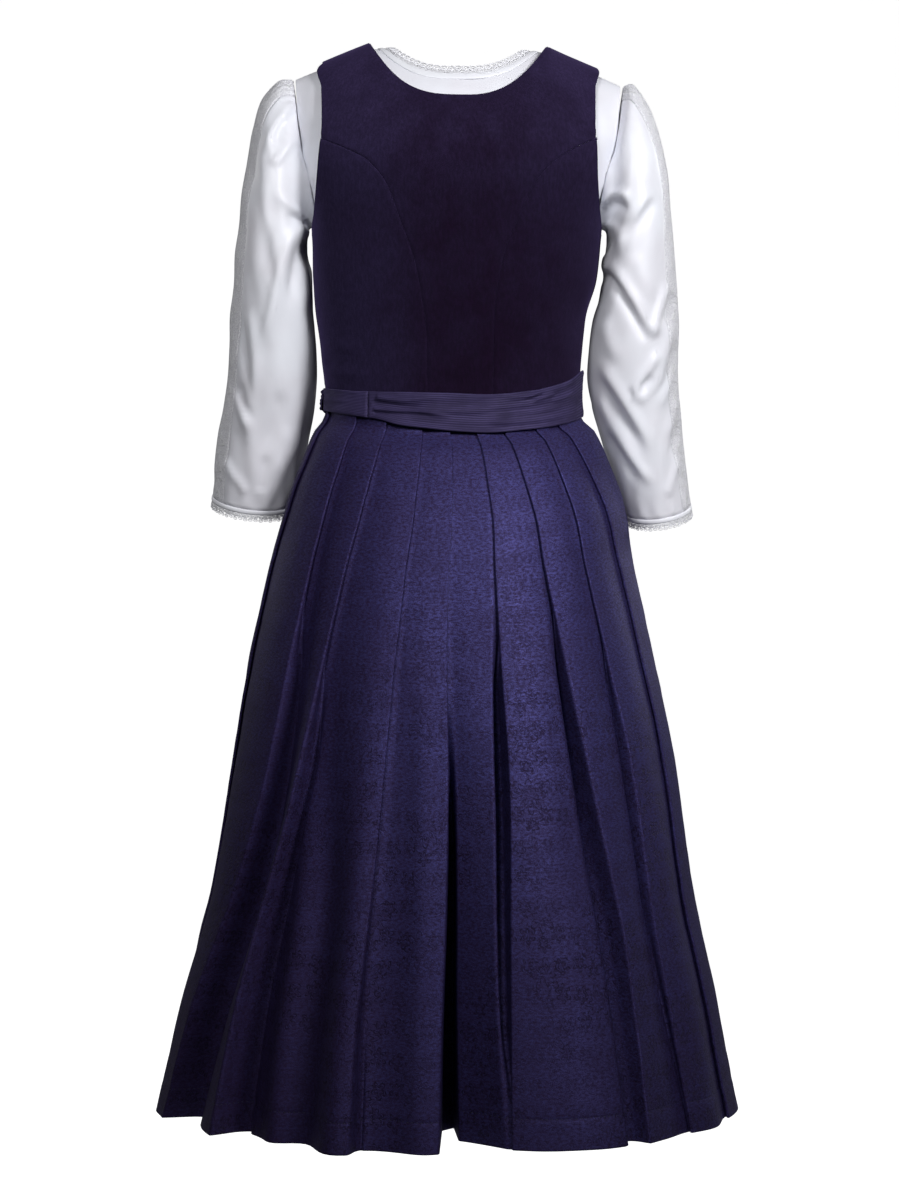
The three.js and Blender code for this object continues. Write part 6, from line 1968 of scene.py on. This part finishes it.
@dataclass
class Apron:
    """The ribbed apron: its gathered panel in front, the waistband, and the ties with their bow."""

    body: Body
    skirt: Skirt
    thick: float = 1.2
    panel_air: float = 2.2
    edge: float = 104
    hem: float = -1140
    tie_seam: float = 320.2
    knot: float = 208
    tie_end: float = 276
    mount_from: float = 76
    mount_to: float = 92
    press: float = 0.9
    band_end: float = 319.8
    knot_gap: float = 0.2
    map_width: float = 42
    fold_span: float = 760
    band: Sections = field(default_factory=lambda: Sections(
        "top bottom flare",
        (-180, -374, -409, 0.6), (-120, -376, -408, 0.6), (-90, -379, -405, 0.6), (-39, -388.5, -417, 0.8),
        (-20, -390.5, -427, 1.8), (0, -392, -432.5, 2.5), (14, -393, -434, 3), (36, -388, -429.5, 3.4),
        (60, -376, -421, 3.4), (90, -359, -410, 1.5), (120, -367, -403, 0.6), (180, -374, -405, 0.6),
        (210, -380, -400, 0.6)))

    @property
    def band_out(self) -> float:
        """Distance of the waistband's outer face from the waist."""
        return 1.0 + self.thick

    @property
    def tie_out(self) -> float:
        """Distance of the ties' outer face where they lie over the waistband."""
        return self.band_out + self.thick + 0.9

    def waist_spot(self, angle: Array, z: Array, distance: Array) -> tuple[Array, Array]:
        """A point at the waist, outside the bodice, and the way out there."""
        turn = turned_in(angle)
        behind = np.abs(turn) <= 90
        across = np.where(behind, turn, np.where(turn < 0, -1, 1) * (180 - np.abs(turn)))
        places = Places(across, np.asarray(z) - self.body.yoke)
        back, back_out = self.body.spot(Side.BACK, places, distance)
        front, front_out = self.body.spot(Side.FRONT, places, distance)
        return np.where(behind[..., None], back, front), np.where(behind[..., None], back_out, front_out)

    def _edges(self, angle: Array) -> tuple[Array, Array, Array]:
        """The band's upper and lower edges and its flare."""
        turn = turned_in(angle)
        turn = np.where(turn < -150, turn + 360, turn)
        return self.band.top(turn), self.band.bottom(turn), self.band.flare(turn)

    def stretch(self, start: float, end: float, shape: tuple[int, int], out: Callable[[Array], Array],
                width: Callable[[Array], Array]) -> Grid:
        """A stretch of band between two angles.

        Args:
            start: the angle where it starts.
            end: the angle where it ends.
            shape: its rows and columns.
            out: distance of its outer face by angle.
            width: share of the full width by angle.

        Returns:
            Its grid from the top down, mapped so that the ribs run along it.
        """
        share = np.linspace(0, 1, shape[0])[:, None]
        angle = np.broadcast_to(np.linspace(start, end, shape[1]), shape)
        top, bottom, flare = self._edges(angle)
        middle = (top + bottom) / 2
        z = middle + (1 - 2 * share) * width(angle) * (top - middle)
        at, way = self.waist_spot(angle, z, out(angle) + flare * share ** 3)
        grid = Grid(at, way)
        along = grid.across().mean(axis=0)
        grid.uv = mapped(along, share * self.map_width)
        return grid

    def waistband(self) -> Grid:
        """The flat, ribbed waistband, from the wearer's right front round to the left back."""
        grid = self.stretch(95, self.band_end, (32, 220), lambda angle: np.full_like(angle, self.band_out),
                            lambda angle: np.ones_like(angle))
        grid = rolled(grid.creased(BAND_FOLDS), right=0.5, start=0.6, end=0.4, width=2.4)
        across = grid.across()
        return grid.lifted(0.75 * np.exp(-(((across[:, -1:] - across - 3.2) / 1.3) ** 2)))

    def long_tie(self) -> Grid:
        """The long tie, which runs loosely gathered across the back to the bow."""
        def mount(angle: Array) -> Array:
            """The tie's distance from the waist: it climbs from the skirt on to the waistband."""
            climb = smooth((angle - self.mount_from) / (self.mount_to - self.mount_from))
            return lerp(self.band_out, self.tie_out, climb)

        def width(angle: Array) -> Array:
            """The tie's width, which is drawn together towards the knot."""
            return 1 - 0.45 * smooth((angle - 150) / (self.knot - 150))

        start = self.tie_seam - 360
        grid = self.stretch(start, self.knot - self.knot_gap, (46, 400), mount, width)
        rows, columns = grid.at.shape[:2]
        angle = np.linspace(start, self.knot - self.knot_gap, columns)[None, :]
        share = np.linspace(0, 1, rows)[:, None]
        along = grid.across()
        slow = Ripple(41, 26)(along * 0.4, share * 70) * 0.9 + Ripple(42, 8)(along * 0.16, share * 50) * 0.6
        to_knot = 0.35 + 0.65 * smooth((angle - 95) / 110)
        drawn = np.sin(2 * np.pi * (share * 6.2 + 0.6 * Ripple(43, 60)(along, share * 20))) * to_knot
        hidden = smooth((angle - 84) / 16)
        loose = grid.lifted(slow + 0.9 * drawn * hidden).creased(TIE_FOLDS)
        rise = ((loose.at - grid.at) * grid.outward).sum(axis=-1)
        held = np.where(rise < 0, self.press * np.tanh(rise / self.press), rise)
        loose.at = loose.at + grid.outward * (held - rise)[..., None]
        return rolled(loose, left=0.9, start=0.7, end=0.5, width=2.2)

    def short_tie(self) -> Grid:
        """The short tie, from the bow to where it ends under the wearer's left arm."""
        grid = self.stretch(self.knot + self.knot_gap, self.tie_end, (36, 120),
                            lambda angle: np.full_like(angle, self.tie_out),
                            lambda angle: 0.55 + 0.35 * smooth((angle - self.knot) / 50))
        rows, columns = grid.at.shape[:2]
        angle = np.linspace(self.knot, self.tie_end, columns)[None, :]
        share = np.linspace(0, 1, rows)[:, None]
        along = grid.across()
        drawn = np.sin(2 * np.pi * (share * 5.2 + 0.5 * Ripple(46, 40)(along, share * 20)))
        near_end = smooth((angle - 252) / 20)
        crumple = near_end * (2.2 * Ripple(47, 9)(along, share * 36) + 1.0)
        loose = grid.lifted(0.8 * drawn * (1 - 0.5 * near_end) + crumple)
        return rolled(loose, right=1.2, start=0.6, end=0.6, width=2.4)

    def panel(self) -> Grid:
        """The apron's panel, gathered into the waistband and falling in soft folds."""
        hem = (self.hem - self.body.waist) / (self.skirt.hem - self.body.waist)
        share = lerp(0.0225, hem, np.unique(np.concatenate([crowded(86, 0.7, 0.0), [0.994, 0.997]])))[:, None]
        t = np.linspace(0, 1, 330)[None, :]
        angle = lerp(self.edge, 360 - self.edge, t)
        along = t * self.fold_span
        top = 1 - smooth((share - 0.03) / 0.22)
        wander = Ripple(51, 55)(along, share * 500) * 0.9

        def waves(pitch: float, stray: float, phase: float = 0.0) -> Array:
            """Folds down the cloth, a pitch apart, that stray a little."""
            return np.sin(2 * np.pi * along / pitch + stray * wander + phase)

        gathers = waves(12.5, 2.2) * 1.0 * (0.25 + 0.75 * top)
        broad = waves(88, 1.8) * 5.2 * smooth((share - 0.05) / 0.5)
        middle = waves(39, 2.6, 1.1) * 2.0 * smooth((share - 0.03) / 0.25)
        wave = gathers * (1 - 0.8 * smooth((share - 0.1) / 0.4)) + broad + middle
        close = self.panel_air + self.thick
        lift = close + 8.0 * smooth(share / 0.35) + wave + 0.8 * Ripple(53, 34)(along, share * SKIRT_FALL)
        edges = np.minimum(t, 1 - t) * self.fold_span
        clear = 1.9 + 5.4 * smooth((share - 0.02) / 0.2)
        lift = lerp(close, np.maximum(lift, clear), smooth(edges / 16))
        angle, share = (np.broadcast_to(values, lift.shape) for values in (angle, share))
        grid = Grid(self.skirt.spot(angle, share, np.zeros_like(lift), -lift), outwards(angle))
        grid.uv = mapped(along, grid.down())
        return grid

    def build(self, bands: Material, panel: Material) -> None:
        """Makes the panel, the waistband, the ties and the bow."""
        for node, grid, finish, held, rests_on in (
                ("apron_panel", self.panel(), panel, "gathered", ("skirt_front", "apron_waistband")),
                ("apron_waistband", self.waistband(), bands, "stretched",
                 ("bodice_front_left", "skirt_back")),
                ("apron_tie_long", self.long_tie(), bands, "stretched",
                 ("bodice_back_centre", "skirt_back", "apron_waistband")),
                ("apron_tie_short", self.short_tie(), bands, "stretched", ("apron_waistband",))):
            lay(Cloth(node, "ribbed", grid, self.thick, finish), "apron_cloth", held, *rests_on)
        Bow(self).build(bands)


@dataclass
class Bow:
    """The bow in front, on the wearer's left: a wrapped knot, two loops and two tails."""

    apron: Apron
    wide: float = 13
    deep: float = 9
    high: float = 15
    loops: tuple[tuple[str, int, float], ...] = (("right", -1, 72), ("left", 1, 48))
    tails: tuple[tuple[str, int, float, float, float], ...] = (
        ("right", -1, 208, 201, 0.42), ("left", 1, 208, 213, 0.47))
    pinhole: float = 0.04

    def _middle(self) -> float:
        """Height of the knot."""
        top, bottom, _ = self.apron._edges(np.array([self.apron.knot]))
        return float((top[0] + bottom[0]) / 2)

    def knot(self) -> Grid:
        """The knot: a rounded form wrapped in drawn cloth, closed but for two pinholes at its ends."""
        seat, out = self.apron.waist_spot(np.array([self.apron.knot]), np.array([self._middle()]),
                                          np.array([self.apron.tie_out + self.deep + 1.4]))
        seat, out = seat[0], unit(np.array([out[0][0], out[0][1], 0]))
        side = np.array([-out[1], out[0], 0.0])
        polar = np.linspace(self.pinhole, math.pi - self.pinhole, 40)[:, None]
        turn = np.linspace(0, 2 * math.pi, 72, endpoint=False)[None, :]
        swell = (1 + 0.06 * np.sin(turn * 5 + 2.2 * np.cos(polar)) * np.sin(polar)
                 + 0.03 * np.sin(turn * 11 + 3 * polar))
        blunt = np.sin(polar) ** 0.8
        across = self.wide * 0.94 * np.cos(polar) * np.ones_like(turn)
        radial = blunt * swell * 0.93
        at = (seat + side * across[..., None] + out * (self.deep * radial * np.cos(turn))[..., None]
              + np.array([0, 0, 1.0]) * (self.high * radial * np.sin(turn))[..., None])
        return Grid(at, at - seat, ring=True)

    def loop(self, hand: int, reach: float) -> Grid:
        """One loop, from the knot out and back."""
        apron = self.apron
        way = np.linspace(0, 6, 90)
        marks = tuple(float(i) for i in range(7))
        along = Curve(marks, (0, 0.35, 0.8, 1, 0.8, 0.35, 0.03))(way)
        out = Curve(marks, (9.3, 19, 20, 13, 6, 5, 7.4))(way)
        width = Curve(marks, (6, 16, 20, 21, 20, 16, 7))(way)
        middle = self._middle()
        one, _ = apron.waist_spot(np.array([apron.knot, apron.knot + 1]), np.full(2, middle), np.zeros(2))
        pace = np.linalg.norm(one[1] - one[0])
        span = np.linspace(-1, 1, 34)[:, None]
        near = 1 - smooth(along / 0.75)
        folds = 1.5 * np.sin(span * 8.5 + 0.6) * near + 0.7 * np.sin(span * 4 + along * 5)
        slump = -3.2 * along * (1 + 0.2 * span)
        angle = apron.knot + hand * lerp(self.wide + 0.6, reach, along) / pace * np.ones_like(span)
        at, outward = apron.waist_spot(angle, middle - span * width + slump, apron.tie_out + out + folds)
        run = np.cumsum(np.concatenate([[0], np.linalg.norm(np.diff(at[17], axis=0), axis=-1)]))
        grid = Grid(at, outward * np.where(way < 3, 1.0, -1.0)[None, :, None])
        grid.uv = mapped(run[None, :], (span + 1) * (apron.map_width / 2))
        return grid

    def tail(self, hand: int, top: float, bottom: float, end: float) -> Grid:
        """One tail, from the knot down over the apron."""
        marks = (0, 0.08, 0.25, 0.6, 1)
        t = crowded(90, 0.5, 0.0)[:, None]
        away, width = Curve(marks, (15, 13, 15, 20, 21.5))(t), Curve(marks, (10, 24, 36, 38, 38))(t)
        across = np.linspace(0, 1, 40)[None, :]
        inner = hand * lerp(1, 3, t)
        along = lerp(0, width, across) - width / 2 + hand * width / 2 + inner
        drawn = 1.6 * np.sin(across * 21 + 0.4) * np.exp(-t / 0.22) + 1.5 * np.sin(across * 7.2 + 1.3 + 2 * t)
        slow = 1.2 * Ripple(61 + hand, 24)(across * 38, t * 330)
        cut = (across - 0.5) * 0.028 * hand
        share = lerp(0.0157, end, t) + cut * smooth((t - 0.5) / 0.5)
        angle = lerp(top, bottom, t) * np.ones_like(across)
        deep = -(away + drawn + slow * smooth(t / 0.1) + 1.2)
        at = self.apron.skirt.spot(angle, np.broadcast_to(share, angle.shape), along, deep)
        grid = Grid(at, outwards(angle))
        grid.uv = mapped(grid.down(), across * self.apron.map_width)
        return grid

    def build(self, ribbed: Material) -> None:
        """Makes the knot, the loops and the tails."""
        parts = [("bow_knot", self.knot(), "folded", ("apron_tie_long", "apron_tie_short"))]
        parts += [(f"bow_loop_{word}", self.loop(*shape), "folded", ("bow_knot",))
                  for word, *shape in self.loops]
        parts += [(f"bow_tail_{word}", self.tail(*shape), "hung", ("bow_knot", "apron_panel"))
                  for word, *shape in self.tails]
        for node, grid, held, rests_on in parts:
            lay(Cloth(node, "ribbed", grid, self.apron.thick, ribbed), "apron_cloth", held, *rests_on)


# ---- Buttons -------------------------------------------------------------------------------------
@dataclass
class Buttons:
    """Seven domed buttons down the front, a little to the wearer's right."""

    body: Body
    count: int = 7
    top: float = -184
    step: float = 29
    radius: float = 5.5
    off: float = 5
    one_each: float = 1000.0

    def build(self, metal: Material) -> None:
        """Makes the row."""
        z = self.top - self.step * np.arange(self.count)
        x = self.body.sections.lean(z) + self.off + self.radius
        at, out = self.body.spot(Side.FRONT, self.body.place(x, z), 0.35)
        down = unit(np.array([0, 0, -1.0]) - out * -out[:, 2:])
        lines = [(at[i:i + 1].repeat(2, 0) + np.array([[0, 0, 0], [0, 0, -0.01]]), out[i:i + 1].repeat(2, 0),
                  down[i:i + 1].repeat(2, 0), False) for i in range(self.count)]
        made = ButtonShapes("bodice_buttons", self.one_each, self.radius, 3.0).along(lines, metal)
        settle(made, [f"button_{i + 1}" for i in range(self.count)])


# ---- Studio --------------------------------------------------------------------------------------
@dataclass
class Lamp:
    """A large soft light."""

    name: str
    place: tuple[float, float, float]
    aim: tuple[float, float, float]
    size: float
    power: float
    spread: float = 180.0

    def build(self) -> None:
        """Adds the light."""
        light = bpy.data.lights.new(self.name, "AREA")
        light.shape, light.size = "DISK", self.size
        light.energy, light.spread = self.power, math.radians(self.spread)
        made = linked(self.name, light)
        made.location = self.place
        way = Vector(self.aim) - Vector(self.place)
        made.rotation_euler = way.to_track_quat("-Z", "Y").to_euler()


@dataclass
class Studio:
    """The camera behind the wearer, soft light, and a plain pale floor that curves up into a wall."""

    distance: float = 3.0
    across: float = -0.009
    height: float = -0.616
    view: float = 25.24
    floor: float = -1.42
    wall: float = 3.2
    bend: float = 1.6
    lamps: tuple[Lamp, ...] = (
        Lamp("key", (1.4, -1.8, 0.5), (0.05, 0.0, -0.35), 0.8, 5.6, 60.0),
        Lamp("fill", (-0.7, -2.4, 0.9), (0.0, 0.0, -0.35), 0.9, 3.8, 55.0),
        Lamp("front right", (1.8, 1.6, 0.4), (0.0, 0.0, -0.55), 1.2, 17),
        Lamp("front left", (-1.8, 1.6, 0.4), (0.0, 0.0, -0.55), 1.2, 6.5),
    )

    def camera(self) -> None:
        """Adds the camera."""
        data = bpy.data.cameras.new("camera")
        data.sensor_fit = "VERTICAL"
        data.angle = math.radians(self.view)
        made = linked("camera", data)
        made.location = (self.across, -self.distance, self.height)
        made.rotation_euler = (math.pi / 2, 0, 0)
        bpy.context.scene.camera = made

    def room(self) -> None:
        """Adds the floor and the wall as one sheet."""
        profile = [(-7.0, self.floor), (self.wall, self.floor)]
        profile += [(self.wall + self.bend * math.sin(a), self.floor + self.bend * (1 - math.cos(a)))
                    for a in np.linspace(0, math.pi / 2, 24)]
        profile += [(self.wall + self.bend, 6.0)]
        points = [(x, y, z) for y, z in profile for x in (-9.0, 9.0)]
        faces = [(2 * i, 2 * i + 1, 2 * i + 3, 2 * i + 2) for i in range(len(profile) - 1)]
        mesh = bpy.data.meshes.new("room")
        mesh.from_pydata(points, [], faces)
        mesh.polygons.foreach_set("use_smooth", np.ones(len(faces), bool))
        material, w, source = blank("room")
        tone = w.mix(w.noise(source.outputs["Object"], 0.8, 1.0), tint(206, 206, 208), tint(212, 212, 214))
        shown = w.node("ShaderNodeLightPath").outputs["Is Camera Ray"]
        surface("room", tone, w, Roughness=1.0, Specular_IOR_Level=0.0, Emission_Color=(1, 1, 1, 1),
                Emission_Strength=w.times(shown, 0.97))
        mesh.materials.append(material)
        linked("room", mesh)

    def light(self) -> None:
        """Adds the lamps and the even light round them."""
        for lamp in self.lamps:
            lamp.build()
        world = bpy.data.worlds.new("even light")
        bpy.context.scene.world = world
        world.use_nodes = True
        tree = world.node_tree
        tree.nodes.clear()
        w = Wiring(tree)
        seen = w.node("ShaderNodeLightPath").outputs["Is Camera Ray"]
        even = w.node("ShaderNodeBackground", {"Color": (0.96, 0.97, 1.0, 1.0),
                                               "Strength": w.spread(seen, 0.0, 1.0, 0.04, 0.97)})
        w.node("ShaderNodeOutputWorld", {"Surface": even.outputs[0]})
        bpy.context.scene.view_settings.view_transform = "Standard"


# ---- Assembly ------------------------------------------------------------------------------------
def main() -> None:
    """Builds the set and its studio, piece by piece."""
    logging.basicConfig(level=logging.INFO, format="%(name)s: %(message)s")
    studio = Studio()
    studio.camera()
    body = Body()
    white_thread = Thread("white thread", tint(244, 245, 248), tint(214, 213, 222)).material()
    blue_thread = Thread("blue thread", tint(44, 42, 78), tint(22, 18, 40)).material()
    whites = Whites(Cotton("satin cotton").material(),
                    Cotton("cotton binding", tint(236, 238, 244), tint(226, 226, 234), 0.5).material(),
                    LaceCloth("lace insertion", 0.030, 0.0115).material(),
                    LaceCloth("lace edging", 0.010, 0.0011, open_net=True).material(), white_thread)
    ribbed = RibbedCloth("ribbed tie cloth", 0.0025).material()
    apron_cloth = RibbedCloth("ribbed apron cloth", 0.0032, upright=True).material()
    Bodice(body).build(Velvet().material())
    blouse = Blouse(body)
    blouse.build(whites)
    Sleeve(blouse, Hand.LEFT, LEFT_EDGES, LEFT_FOLDS, 71).build(whites)
    Sleeve(blouse, Hand.RIGHT, RIGHT_EDGES, RIGHT_FOLDS, 81).build(whites)
    skirt = Skirt(body)
    skirt.build(Jacquard().material(), blue_thread)
    Apron(body, skirt).build(ribbed, apron_cloth)
    Buttons(body).build(ButtonMetal().material())
    studio.room()
    studio.light()
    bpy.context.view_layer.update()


if __name__ == "__main__":
    main()
